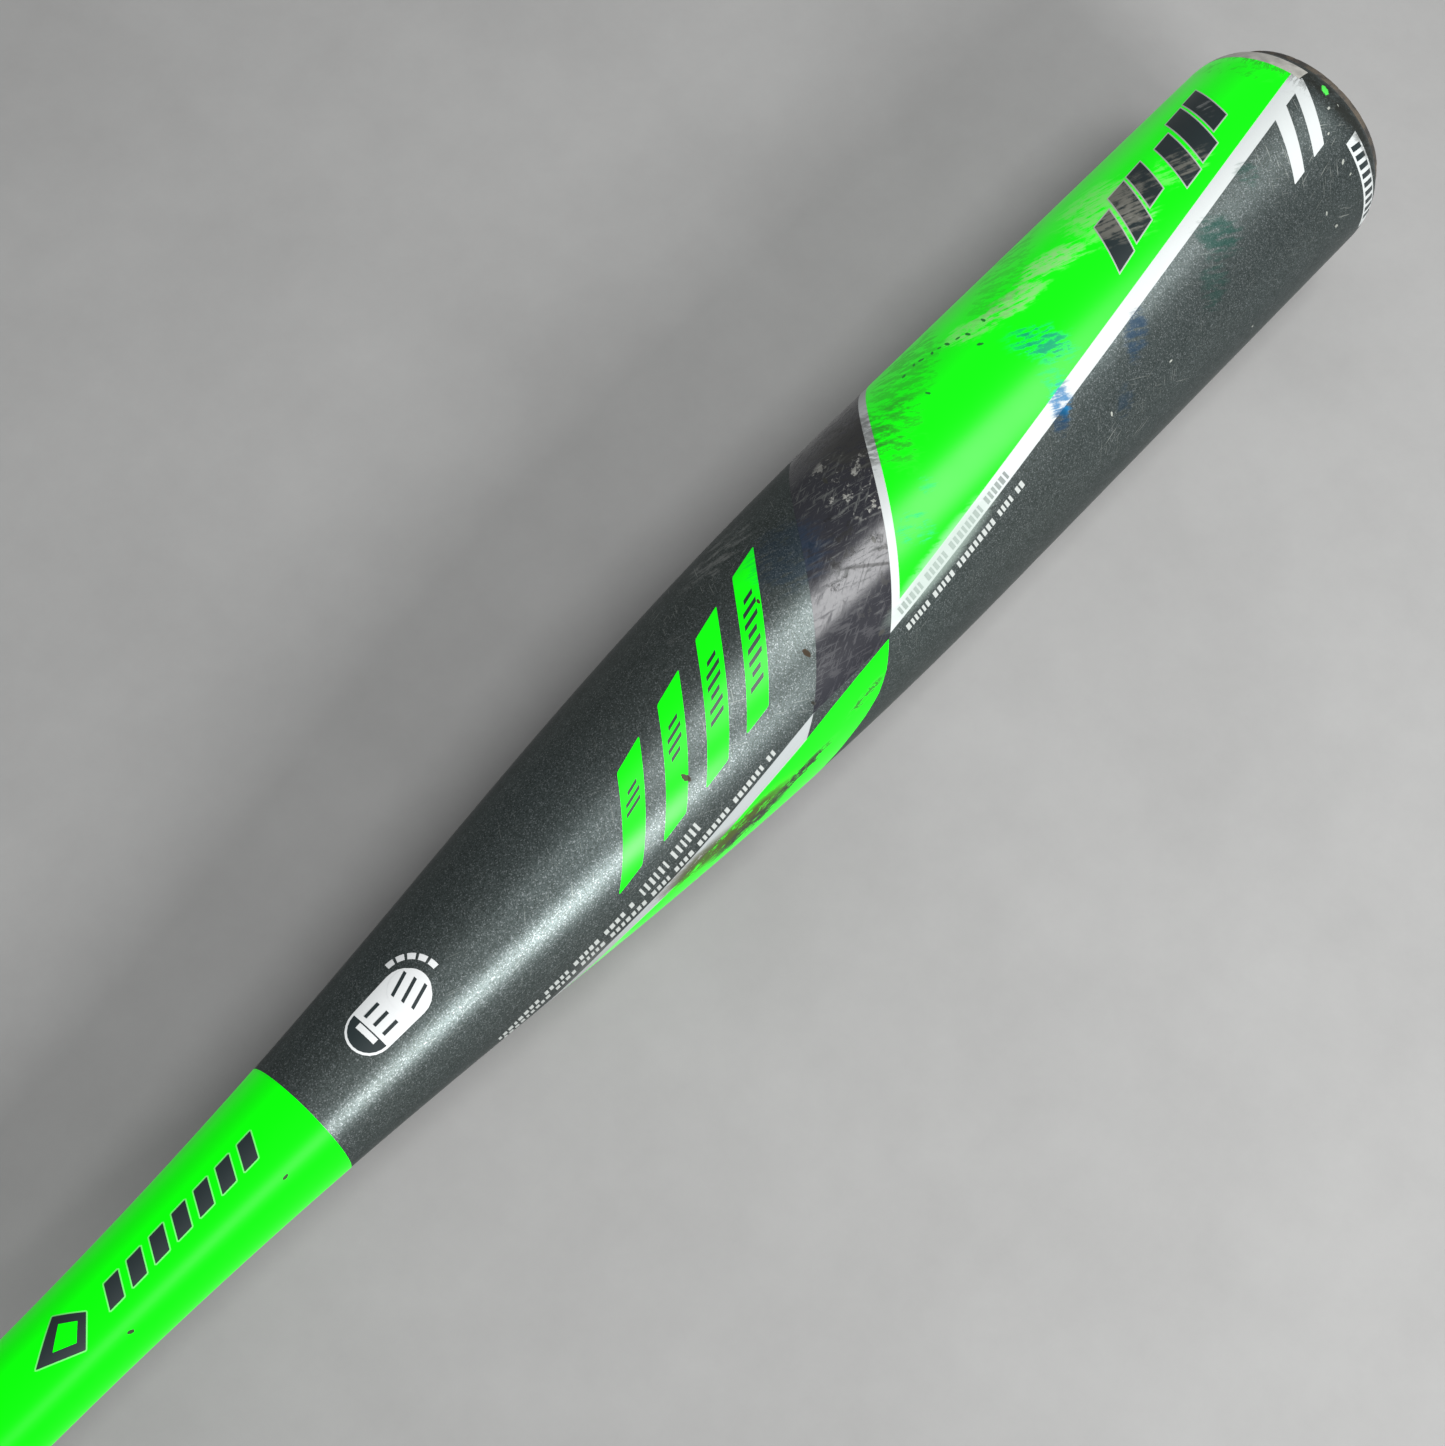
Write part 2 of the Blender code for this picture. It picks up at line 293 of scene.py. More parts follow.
def unrolled(tree):
    """The skin of the bat laid flat, in metres: along the bat towards the tip, then round it."""
    offset = vector_node(tree, "SUBTRACT", place_of(tree), TIP).outputs[0]
    parts = []
    for direction in (AXIS, AWAY, TOWARDS_CAMERA):
        parts.append(vector_node(tree, "DOT_PRODUCT", offset, direction).outputs["Value"])
    around = times(tree, math_node(tree, "ARCTAN2", parts[1], parts[2]), BARREL_RADIUS * MM)
    return node(tree, "ShaderNodeCombineXYZ", X=parts[0], Y=around).outputs[0]


def stretched(tree, along, across, turn=0.0):
    """The unrolled skin, turned from the bat's axis and scaled along that line and across it."""
    turned = turned_vector(tree, "Z_AXIS", unrolled(tree), turn)
    return vector_node(tree, "MULTIPLY", turned, (along, across, 1)).outputs[0]


def noise(tree, scale, detail=3.0, roughness=0.5, over=None):
    """Noise over a vector, which is the point being shaded unless another is given."""
    vector = over or place_of(tree)
    made = node(tree, "ShaderNodeTexNoise", Vector=vector, Scale=scale, Detail=detail, Roughness=roughness)
    return made.outputs["Fac"]


def ramp(tree, value, low, high):
    """0 below low, 1 above high, and smooth between. It falls instead where low is above high."""
    start, end = (0, 1) if low < high else (1, 0)
    low, high = min(low, high), max(low, high)
    sockets = {"Value": value, "From_Min": low, "From_Max": high, "To_Min": start, "To_Max": end}
    return node(tree, "ShaderNodeMapRange", {"interpolation_type": "SMOOTHSTEP"}, **sockets).outputs[0]


def patch(tree, tip, angle, length, width, turn=0.0):
    """1 at a spot on the bat, fading to 0 over an ellipse of this length and width in millimetres."""
    offset = vector_node(tree, "SUBTRACT", place_of(tree), surface_point(tip, angle)).outputs[0]
    turned = turned_vector(tree, "AXIS_ANGLE", offset, turn, Axis=surface_normal(tip, angle))
    sizes = (2 / (length * MM), 2 / (width * MM), 2 / (width * MM))
    scaled = vector_node(tree, "MULTIPLY", turned, sizes).outputs[0]
    distance = vector_node(tree, "LENGTH", scaled).outputs["Value"]
    return ramp(tree, distance, 1.0, 0.35)


# The marks' colours
BLUE = (0.002, 0.03, 0.075)
BRIGHT_BLUE = (0.0, 0.13, 0.3)
TEAL = (0.0, 0.05, 0.036)
GREEN_BLUE = (0.0, 0.15, 0.13)
BROWN = (0.075, 0.045, 0.025)
SOOT = (0.025, 0.025, 0.02)
PINK_HAZE = (0.42, 0.4, 0.33)
PALE = (0.3, 0.31, 0.3)
CHIP = (0.4, 0.42, 0.38)
CRUMB = (0.035, 0.024, 0.014)
OLIVE = (0.045, 0.06, 0.012)
STITCH = (0.008, 0.16, 0.02)
GREEN_CHIP = (0.12, 0.9, 0.12)
# Scuffs left by balls and dirt, and a patch of painted shade greying the white stripe: (tip, angle, length,
# width, turn, colour, strength, noise cut)
SCUFFS_AND_SHADE = [
    (111, 13, 16, 24, 35, GREEN_BLUE, 0.85, 0.45),
    (116, -2, 12, 12, 30, GREEN_BLUE, 0.6, 0.48),
    (119, -12, 13, 10, 40, BRIGHT_BLUE, 0.9, 0.44),
    (122, -19, 10, 7, 40, BLUE, 0.7, 0.44),
    (92, -15, 20, 10, 40, BLUE, 0.62, 0.44),
    (104, -36, 14, 9, 40, BLUE, 0.4, 0.46),
    (57, -9, 14, 20, 45, TEAL, 0.65, 0.43),
    (66, -24, 22, 14, 45, TEAL, 0.45, 0.45),
    (40, 2, 12, 10, 45, TEAL, 0.5, 0.46),
    (193, 28, 30, 26, 10, BLUE, 0.35, 0.42),
    (168, -6, 14, 16, 50, GREEN_BLUE, 0.9, 0.51),
    (158, 4, 10, 9, 50, GREEN_BLUE, 0.6, 0.52),
    (90, 41, 26, 11, -25, PINK_HAZE, 0.52, 0.43),
    (105, 40, 28, 12, -8, PINK_HAZE, 0.5, 0.44),
    (118, 47, 24, 12, -20, PINK_HAZE, 0.35, 0.45),
    (70, 42, 34, 34, -20, PINK_HAZE, 0.32, 0.43),
    (50, 30, 30, 16, -20, PINK_HAZE, 0.25, 0.48),
    (68, 28, 22, 20, 40, PALE, 0.4, 0.56),
    (158, 27, 24, 20, -30, SOOT, 0.35, 0.46),
    (240, -66, 56, 10, 8, OLIVE, 0.45, 0.4),
    # Painted shade with some wear: greys the white stripe where it turns down away from the light.
    (166, -24.5, 56, 9, 7.5, (0.3, 0.38, 0.33), 0.6, 0.32),
    (258, -62, 30, 7, 8, BROWN, 0.5, 0.42),
    (284, -84, 30, 24, 0, PALE, 0.4, 0.38),
    (30, 44, 14, 10, 40, PALE, 0.4, 0.54),
    (160, 50, 34, 30, 50, SOOT, 0.62, 0.43),
    (136, 58, 60, 26, 30, SOOT, 0.36, 0.45),
    (96, 64, 80, 24, 30, SOOT, 0.24, 0.46),
    (150, 34, 34, 18, 40, SOOT, 0.34, 0.48),
    (14, 55, 10, 60, 0, SOOT, 0.25, 0.5),
    (6, -10, 9, 60, 0, SOOT, 0.7, 0.42),
    (30, -40, 34, 30, 30, PALE, 0.3, 0.58),
    (200, 62, 44, 20, 5, PALE, 0.6, 0.5),
    (228, 40, 30, 20, 30, PALE, 0.25, 0.56),
]
# Caked dirt, drawn as fine cracked lines, with the same values
DIRT = [
    (222, -63, 34, 5, 8, SOOT, 1.0, 0.1),
    (240, -64, 40, 9, 8, OLIVE, 1.0, -0.35),
    (238, -70, 36, 7, 8, SOOT, 1.0, 0.1),
    (253, -63, 30, 8, 8, OLIVE, 0.9, -0.2),
    (200, -52, 20, 4, 10, SOOT, 0.85, 0.3),
    (8, 30, 10, 60, 0, SOOT, 0.5, 0.5),
]
# Single crumbs, chips and a ball's stitch marks: a colour, then each spot's (tip, angle, width)
SPECKS = [
    (CRUMB, [(207, -11.6, 1.9), (206, 21.6, 1.1)]),
    (SOOT, [(212.6, -32.5, 1.1), (189.7, -30.2, 1.4)]),
    (CRUMB, [(246.3, -14.6, 2.0)]),
    (SOOT, [(177, 3.7, 1.3), (408, -32, 1.4), (365, -26.5, 1.2), (172, 42, 1.5)]),
    (STITCH, [
        (136.6, 56.5, 1.2), (132.5, 57.4, 1.0), (130.5, 56.2, 1.3), (127.7, 53.9, 1.1), (125.7, 52.9, 0.9),
        (123.9, 50.8, 1.3), (121.3, 48.3, 1.0), (119.3, 45.4, 1.3), (120.6, 35.6, 1.3), (113.9, 45.1, 1.2),
        (139, 36.2, 1.1),
    ]),
    (GREEN_CHIP, [(6.1, 4.8, 2.8)]),
    (CHIP, [
        (6.7, -5.4, 0.6), (9.8, -3.0, 0.8), (14.8, -11.8, 0.7), (15.6, -27.6, 1.0), (15.0, -35.7, 0.7),
        (87.3, -37.9, 0.8), (109, -34.9, 0.9), (23.6, -54.9, 1.1), (26.3, -42.8, 0.9), (57.7, -65.8, 0.7),
    ]),
]


def make_scuffs():
    """A node group that lays every scuff, and the patch of painted shade on the white stripe, over a paint's
    colour, broken up by streaky noise.
    """
    tree = bpy.data.node_groups.new("scuffs_and_shade", "ShaderNodeTree")
    tree.interface.new_socket("Color", in_out="INPUT", socket_type="NodeSocketColor")
    tree.interface.new_socket("Color", in_out="OUTPUT", socket_type="NodeSocketColor")
    tree.interface.new_socket("Mark", in_out="OUTPUT", socket_type="NodeSocketFloat")
    source = tree.nodes.new("NodeGroupInput")
    result = tree.nodes.new("NodeGroupOutput")
    streaks = noise(tree, 1.0, 6.0, 0.68, stretched(tree, 120, 900, -24))
    blots = noise(tree, 420, 6.0, 0.66)
    crumbs = noise(tree, 1500, 4.0, 0.8)
    cracks = noise(tree, 1.0, 7.0, 0.75, stretched(tree, 130, 420, 8))
    from_line = math_node(tree, "ABSOLUTE", minus(tree, cracks, 0.5))
    veins = minus(tree, 1.0, times(tree, from_line, 14.0))
    texture = plus(tree, times(tree, streaks, 0.66), times(tree, blots, 0.34))
    smears = noise(tree, 1.0, 7.0, 0.74, stretched(tree, 190, 420, -52))
    smudges = plus(tree, times(tree, streaks, 0.3), times(tree, smears, 0.7))
    colour = source.outputs[0]
    marked = None
    blotted = [(smudges if scuff[5] == SOOT else texture, scuff) for scuff in SCUFFS_AND_SHADE]
    blotted += [(veins, spot) for spot in DIRT]
    for pattern, (tip, angle, length, width, turn, shade, strength, cut) in blotted:
        area = patch(tree, tip, angle, length, width, turn)
        fade = times(tree, minus(tree, 1.0, area), 0.14)
        shown = ramp(tree, minus(tree, pattern, fade), cut - 0.03, cut + 0.09)
        shown = times(tree, times(tree, shown, area), strength, True)
        colour = mix_colour(tree, shown, colour, shade)
        marked = shown if marked is None else most(tree, marked, shown)
    specks = [(*spot, shade) for shade, spots in SPECKS for spot in spots]
    for tip, angle, width, shade in specks:
        spot = patch(tree, tip, angle, width * 2.0, width * 1.05, tip * 37 % 180)
        uneven = plus(tree, spot, times(tree, crumbs, 2.0))
        ragged = times(tree, ramp(tree, uneven, 1.5, 1.6), ramp(tree, spot, 0.0, 0.15))
        colour = mix_colour(tree, ragged, colour, shade)
        marked = most(tree, marked, ragged)
    tree.links.new(colour, result.inputs["Color"])
    tree.links.new(marked, result.inputs["Mark"])
    return tree


def scuffed(tree, group, colour):
    """Runs a colour through the scuffs and the painted shade patch, and returns the colour and how marked it
    is.
    """
    made = node(tree, "ShaderNodeGroup", {"node_tree": group}, i0=colour)
    return made.outputs["Color"], made.outputs["Mark"]


def worn_roughness(tree, base, marked, spread=0.1):
    """A paint's roughness: patchy handling wear, and duller where it is scuffed."""
    patchy = noise(tree, 60, 4.0, 0.6)
    level = plus(tree, times(tree, patchy, spread), base - spread / 2)
    return plus(tree, level, times(tree, marked, 0.25), True)


SCRATCH_TURNS = (-30, 15, 62)
SCRATCHED_AREAS = [(14, -30, 70, 80), (205, 66, 90, 34), (100, -45, 60, 20)]


def hairlines(tree, turn):
    """Short thin scratches running in one direction, gathered in loose clouds."""
    lines = noise(tree, 1.0, 2.0, 0.5, stretched(tree, 110, 2600, turn))
    cloud = noise(tree, 1.0, 2.0, 0.5, stretched(tree, 45, 60, turn * 3))
    return times(tree, ramp(tree, lines, 0.655, 0.7), ramp(tree, cloud, 0.47, 0.6))


def charcoal_paint(group):
    """Charcoal metallic: flakes a quarter of a millimetre across in a satin clear coat."""
    made, tree, shader = new_material("charcoal_flake_paint")
    flakes = node(tree, "ShaderNodeTexVoronoi", Vector=place_of(tree), Scale=4200.0)
    random_value = node(tree, "ShaderNodeSeparateColor", Color=flakes.outputs["Color"])
    dark = mix_colour(tree, random_value.outputs[0], (0.031, 0.044, 0.044), (0.086, 0.109, 0.11))
    sparkle = ramp(tree, random_value.outputs[1], 0.8, 1.0)
    flaked = mix_colour(tree, sparkle, dark, (0.185, 0.21, 0.215))
    drift = noise(tree, 14, 2.0, 0.5)
    flaked = mix_colour(tree, times(tree, drift, 0.3), flaked, (0.085, 0.078, 0.06))
    scratched = 0.3
    for tip, angle, length, width in SCRATCHED_AREAS:
        scratched = most(tree, scratched, patch(tree, tip, angle, length, width))
    for turn in SCRATCH_TURNS:
        scratch = times(tree, hairlines(tree, turn), scratched)
        flaked = mix_colour(tree, scratch, flaked, (0.3, 0.32, 0.3))
    colour, marked = scuffed(tree, group, flaked)
    rough = worn_roughness(tree, 0.36, marked)
    normal = bump(tree, random_value.outputs[2], 0.16, 0.05 * MM)
    set_inputs(tree, shader, Base_Color=colour, Roughness=rough, Metallic=0.7, Normal=normal)
    set_inputs(tree, shader, Specular_Tint=rgb((0.4, 0.42, 0.42)), Coat_Weight=0.08, Coat_Roughness=0.3)
    return made


def solid_paint(name, group, colour, roughness, variation, glow=0.0, coat=0.3, specular=0.5, tint=0.14):
    """A solid colour under clear coat, with faint clouding and fine speckle, and painted light where glow is
    given.
    """
    made, tree, shader = new_material(name)
    cloud = noise(tree, 45, 4.0, 0.6)
    speckle = noise(tree, 1800, 2.0, 0.6)
    shade = times(tree, plus(tree, cloud, speckle), variation)
    darker = tuple(channel * 0.6 for channel in colour)
    tinted = mix_colour(tree, shade, colour, darker)
    painted, marked = scuffed(tree, group, tinted)
    set_inputs(tree, shader, Base_Color=painted, Roughness=worn_roughness(tree, roughness, marked))
    set_inputs(tree, shader, Coat_Weight=coat, Coat_Roughness=0.27, Specular_IOR_Level=specular)
    # Painted light: the glow makes the paint give off light of its own, so it stays bright on its shaded
    # side.
    if glow:
        highlight = rgb((tint, 1.0, tint))
        set_inputs(tree, shader, Specular_Tint=highlight, Emission_Color=painted, Emission_Strength=glow)
    return made


def black_band_paint(group):
    """Blue-black, rubbed through to grey streaks where balls have hit it, with a crack across its middle."""
    made, tree, shader = new_material("black_band_paint")
    upper = patch(tree, 172, 36, 40, 42, 0)
    middle = patch(tree, 184, 0, 26, 40, 0)
    area = most(tree, upper, times(tree, middle, 0.85))
    across = noise(tree, 1.0, 7.0, 0.72, stretched(tree, 160, 1100, 28))
    along = noise(tree, 1.0, 6.0, 0.7, stretched(tree, 140, 1100, -14))
    rub = most(tree, across, along)
    rub_level = plus(tree, rub, times(tree, area, 0.06))
    rubbed = times(tree, ramp(tree, rub_level, 0.615, 0.68), area)
    chips = noise(tree, 300, 6.0, 0.75)
    chipped = patch(tree, 168, 30, 26, 32, 0)
    deep = times(tree, ramp(tree, chips, 0.565, 0.6), ramp(tree, chipped, 0.2, 0.6))
    fleck = times(tree, ramp(tree, chips, 0.44, 0.41), ramp(tree, middle, 0.2, 0.6))
    clouds = noise(tree, 40)
    base = mix_colour(tree, clouds, (0.012, 0.012, 0.016), (0.028, 0.029, 0.036))
    worn = mix_colour(tree, rubbed, base, (0.085, 0.09, 0.086))
    worn = mix_colour(tree, deep, worn, (0.27, 0.27, 0.25))
    worn = mix_colour(tree, fleck, worn, (0.004, 0.004, 0.005))
    crack = patch(tree, 182.7, -2.3, 26, 1.2, -35)
    worn = mix_colour(tree, crack, worn, (0.004, 0.004, 0.005))
    painted, marked = scuffed(tree, group, worn)
    dull = most(tree, marked, most(tree, rubbed, most(tree, crack, fleck)))
    streaky = plus(tree, 0.2, times(tree, ramp(tree, rub, 0.5, 0.64), 0.26))
    rough = plus(tree, streaky, times(tree, dull, 0.2), True)
    set_inputs(tree, shader, Base_Color=painted, Roughness=rough)
    set_inputs(tree, shader, Specular_IOR_Level=0.45, Coat_Weight=0.1, Coat_Roughness=0.2)
    return made


def plain_look(name, colour, roughness, metallic=0.0, scale=120.0, variation=0.5, bump_height=0.05 * MM):
    """A moulded, cast or painted surface with clouded colour, uneven gloss and a fine texture."""
    made, tree, shader = new_material(name)
    cloud = noise(tree, scale, 5.0, 0.6)
    darker = tuple(channel * (1 - variation) for channel in colour)
    clouded = mix_colour(tree, cloud, darker, colour)
    uneven = plus(tree, times(tree, cloud, 0.2), roughness - 0.1, True)
    normal = bump(tree, noise(tree, scale * 12, 4.0, 0.6), 0.5, bump_height)
    set_inputs(tree, shader, Base_Color=clouded, Roughness=uneven, Metallic=metallic, Normal=normal)
    return made


def cap_look():
    """Black moulded cap, scoured and caked with dry brown dirt round its ring."""
    made, tree, shader = new_material("worn_cap")
    dirt = ramp(tree, noise(tree, 260, 6.0, 0.65), 0.42, 0.62)
    fine = noise(tree, 1500, 4.0, 0.7)
    rubber = mix_colour(tree, fine, (0.012, 0.012, 0.012), (0.05, 0.047, 0.042))
    brown = mix_colour(tree, fine, (0.045, 0.036, 0.025), (0.11, 0.09, 0.066))
    colour = mix_colour(tree, dirt, rubber, brown)
    rough = plus(tree, times(tree, dirt, 0.3), 0.5, True)
    normal = bump(tree, plus(tree, dirt, fine), 0.7, 0.15 * MM)
    set_inputs(tree, shader, Base_Color=colour, Roughness=rough, Normal=normal)
    return made


def grip_look():
    """Black synthetic leather: fine grain and rows of small perforations, darkened inside with painted shade.
    """
    made, tree, shader = new_material("grip_leather")
    grain = node(tree, "ShaderNodeTexVoronoi", Vector=place_of(tree), Scale=1100.0)
    holes = node(tree, "ShaderNodeTexVoronoi", Vector=place_of(tree), Scale=290.0, Randomness=0.25)
    hole = ramp(tree, holes.outputs["Distance"], 0.26, 0.16)
    cloud = noise(tree, 30, 4.0, 0.6)
    leather = mix_colour(tree, cloud, (0.012, 0.012, 0.013), (0.045, 0.044, 0.043))
    # Painted shade: the perforations are coloured near black, for the shade inside the holes.
    colour = mix_colour(tree, hole, leather, (0.004, 0.004, 0.004))
    rough = plus(tree, times(tree, cloud, 0.2), 0.5, True)
    height = minus(tree, times(tree, grain.outputs["Distance"], 0.25), hole)
    normal = bump(tree, height, 0.8, 0.25 * MM)
    set_inputs(tree, shader, Base_Color=colour, Roughness=rough, Normal=normal)
    return made


# ---- The paint films ----


def grid_lines(low, high, step):
    """Every multiple of step between two values."""
    return [line * step for line in range(math.floor(low / step) + 1, math.ceil(high / step))]


def split_outline(outline):
    """Cuts a flat outline of (tip, angle) corners along a grid, so that it can follow the curved surface."""
    work = bmesh.new()
    work.faces.new([work.verts.new((tip, angle, 0)) for tip, angle in outline])
    bmesh.ops.triangulate(work, faces=work.faces)
    tips = [tip for tip, _ in outline]
    angles = [angle for _, angle in outline]
    stations = grid_lines(min(tips), min(max(tips), NOSE_START), FILM_GRID_NOSE)
    stations += grid_lines(max(min(tips), NOSE_START), max(tips), FILM_GRID_TIP)
    cuts = [((tip, 0, 0), (1, 0, 0)) for tip in stations]
    cuts += [((0, angle, 0), (0, 1, 0)) for angle in grid_lines(min(angles), max(angles), FILM_GRID_ANGLE)]
    for spot, direction in cuts:
        geometry = list(work.verts) + list(work.edges) + list(work.faces)
        bmesh.ops.bisect_plane(work, geom=geometry, dist=1e-5, plane_co=spot, plane_no=direction)
    bmesh.ops.remove_doubles(work, verts=work.verts, dist=1e-4)
    bmesh.ops.dissolve_degenerate(work, edges=work.edges, dist=1e-4)
    return work


def film_mesh(name, outlines, layer):
    """One thin closed solid for each outline, lying on the bat's surface, with the surface's own normals."""
    top = FILM_LIFT + FILM_STEP * layer
    points, faces, normals = [], [], []
    for outline in outlines:
        flat = split_outline(outline)
        flat.verts.index_update()
        spots = [(vert.co.x, vert.co.y) for vert in flat.verts]
        outwards = [surface_normal(*spot) for spot in spots]
        base = len(points)
        count = len(spots)
        points += [surface_point(tip, angle, top) for tip, angle in spots]
        points += [surface_point(tip, angle, FILM_ROOT) for tip, angle in spots]
        for face in flat.faces:
            ring = [vert.index for vert in face.verts]
            if face.normal.z > 0:
                ring.reverse()
            faces.append([base + index for index in ring])
            normals.append([outwards[index] for index in ring])
            below = ring[::-1]
            faces.append([base + count + index for index in below])
            normals.append([-outwards[index] for index in below])
        for edge in flat.edges:
            if len(edge.link_faces) != 1:
                continue
            loop = edge.link_loops[0]
            first, second = loop.vert.index, loop.link_loop_next.vert.index
            if edge.link_faces[0].normal.z > 0:
                first, second = second, first
            wall = [base + second, base + first, base + count + first, base + count + second]
            side = (points[wall[1]] - points[wall[0]]).cross(points[wall[2]] - points[wall[1]])
            faces.append(wall)
            normals.append([side.normalized()] * 4)
        flat.free()
    mesh = bpy.data.meshes.new(name)
    mesh.from_pydata(points, [], faces)
    mesh.shade_smooth()
    mesh.normals_split_custom_set([normal for ring in normals for normal in ring])
    return mesh


def film(name, outlines, layer, paint):
    """Adds a film of this paint, which is a material and its slot."""
    look, slot_name = paint
    return add_piece(name, film_mesh(name, outlines, layer), look)


def without_bounce(piece):
    """Keeps this bright piece from tinting the floor, as the picture's grey floor stays neutral."""
    piece.visible_diffuse = False


def bevelled(outline, size):
    """The outline with each corner cut by a small round of three points."""
    rounded = []
    for index, corner in enumerate(outline):
        before, after = Vector(outline[index - 1]), Vector(outline[(index + 1) % len(outline)])
        point = Vector(corner)
        start = point + (before - point).normalized() * min(size, (before - point).length / 2)
        end = point + (after - point).normalized() * min(size, (after - point).length / 2)
        middle = (start + end) / 4 + point / 2
        rounded += [tuple(start), tuple(middle), tuple(end)]
    return rounded


# ---- The painted tube ----
BODY_SEGMENTS = 192
BARREL_STEPS = 12
HANDLE_STEPS = 20


def nose_arc(inset, steps):
    """The barrel's rolled end from its lip back to the straight barrel, moved in by inset."""
    points = []
    lip_angle = math.asin((NOSE_START - NOSE_END) / NOSE_HALF_LENGTH)
    for step in range(steps + 1):
        angle = lip_angle * (1 - step / steps)
        normal = Vector((math.sin(angle) / NOSE_HALF_LENGTH, math.cos(angle) / NOSE_DROP)).normalized()
        along = NOSE_HALF_LENGTH * math.sin(angle) - inset * normal.x
        radius = BARREL_RADIUS - NOSE_DROP * (1 - math.cos(angle)) - inset * normal.y
        points.append((NOSE_START - along, radius))
    return points


def tube_side(inset_barrel, inset_handle, nose_steps, taper_steps):
    """One side of the tube's wall, from the lip to the foot in the knob."""
    points = nose_arc(inset_barrel, nose_steps)
    for step in range(1, BARREL_STEPS):
        tip = NOSE_START + (TAPER_START - NOSE_START) * step / BARREL_STEPS
        points.append((tip, BARREL_RADIUS - inset_barrel))
    for step in range(taper_steps + 1):
        along, radius = taper_point(step / taper_steps)
        handle_share = (BARREL_RADIUS - radius) / (BARREL_RADIUS - HANDLE_RADIUS)
        points.append((along, radius - inset_barrel + handle_share * (inset_barrel - inset_handle)))
    for step in range(1, HANDLE_STEPS + 1):
        tip = TAPER_END + (TUBE_FOOT - TAPER_END) * step / HANDLE_STEPS
        points.append((tip, HANDLE_RADIUS - inset_handle))
    return points


def build_tube(look):
    profile = tube_side(0, 0, 20, 80) + tube_side(BARREL_WALL, HANDLE_WALL, 8, 30)[::-1]
    mesh = turned_mesh("alloy_tube", profile, BODY_SEGMENTS, 40)
    add_piece("alloy_tube", mesh, look, ["alloy_shell"])


# ---- The paint's layout, as (tip, angle) corners ----
PANEL_TIP = 8.8
PANEL_TURN = 170  # degrees from the near stripe to the far one
STRIPE_ANGLE = 25.1  # of the near stripe's line, at the tip
STRIPE_SLOPE = -0.2725
BORDER_TIP = 171.9  # of the panel's slanted edge, at angle 0
BORDER_SLOPE = -0.395
WHITE_RIM_ANGLE = 7.65  # how far the white panel shows past the green one's long edges, in degrees
WHITE_RIM_TIP = 2.7  # and past its slanted edge, in millimetres
SLEEVE_START = 352.5
SLEEVE_END = 470.0


def stripe_angle(tip, offset=0.0):
    """The green panel's near edge, a long shallow helix."""
    return STRIPE_ANGLE + STRIPE_SLOPE * tip + offset


def corner_of(angle_offset, tip_offset):
    """Where a line beside the panel's long edge meets a line beside its slanted edge."""
    at_stripe_start = BORDER_TIP + tip_offset + BORDER_SLOPE * (STRIPE_ANGLE + angle_offset)
    tip = at_stripe_start / (1 - BORDER_SLOPE * STRIPE_SLOPE)
    return tip, stripe_angle(tip, angle_offset)


def parallelogram(near, far, left, right):
    """A panel between two long-edge offsets and from a slanted-edge offset to a tip distance."""
    low = corner_of(near, left)
    high = corner_of(far, left)
    return [low, (right, stripe_angle(right, near)), (right, stripe_angle(right, far)), high]


def slanted_bar(index):
    """One of the four green bars on the taper."""
    return [
        (247 - 17.3 * index, 17.6 + 9.3 * index),
        (256.4 - 17.3 * index, 12.3 + 9.6 * index),
        (273.6 - 14.7 * index, -38.8 + 6.3 * index),
        (265.7 - 14.7 * index, -34 + 5.6 * index),
    ]


SWOOSH_TOP = [
    (189, -35.6), (199.8, -38.6), (209, -41.8), (218.3, -45.9), (225.6, -48.8), (233.8, -52.3),
    (244.7, -58), (253.9, -62.5), (263.7, -68), (272, -72), (279.5, -76.6), (285, -82.5), (291, -90),
    (297, -100), (300, -112), (298, -128), (290, -144), (277, -158),
]
SWOOSH_RIGHT = [
    (263, -158), (252, -143), (241, -127), (231, -111), (222, -96), (214, -83), (207, -72.5),
    (201.5, -65.5), (196.7, -58), (193, -49),
]
WEDGE_TOP = [
    (213.9, -36.6), (221.6, -39.4), (230.7, -43.2), (238.3, -46.6), (245.8, -50.3), (252.4, -53.6),
    (258.6, -56.8), (266.3, -61), (273.9, -65), (281.4, -69.6), (288.7, -76), (297, -85), (306, -98),
    (310, -112), (308, -130), (298, -148), (282, -163),
]


def between(first, second, share):
    return tuple(a + (b - a) * share for a, b in zip(first, second))


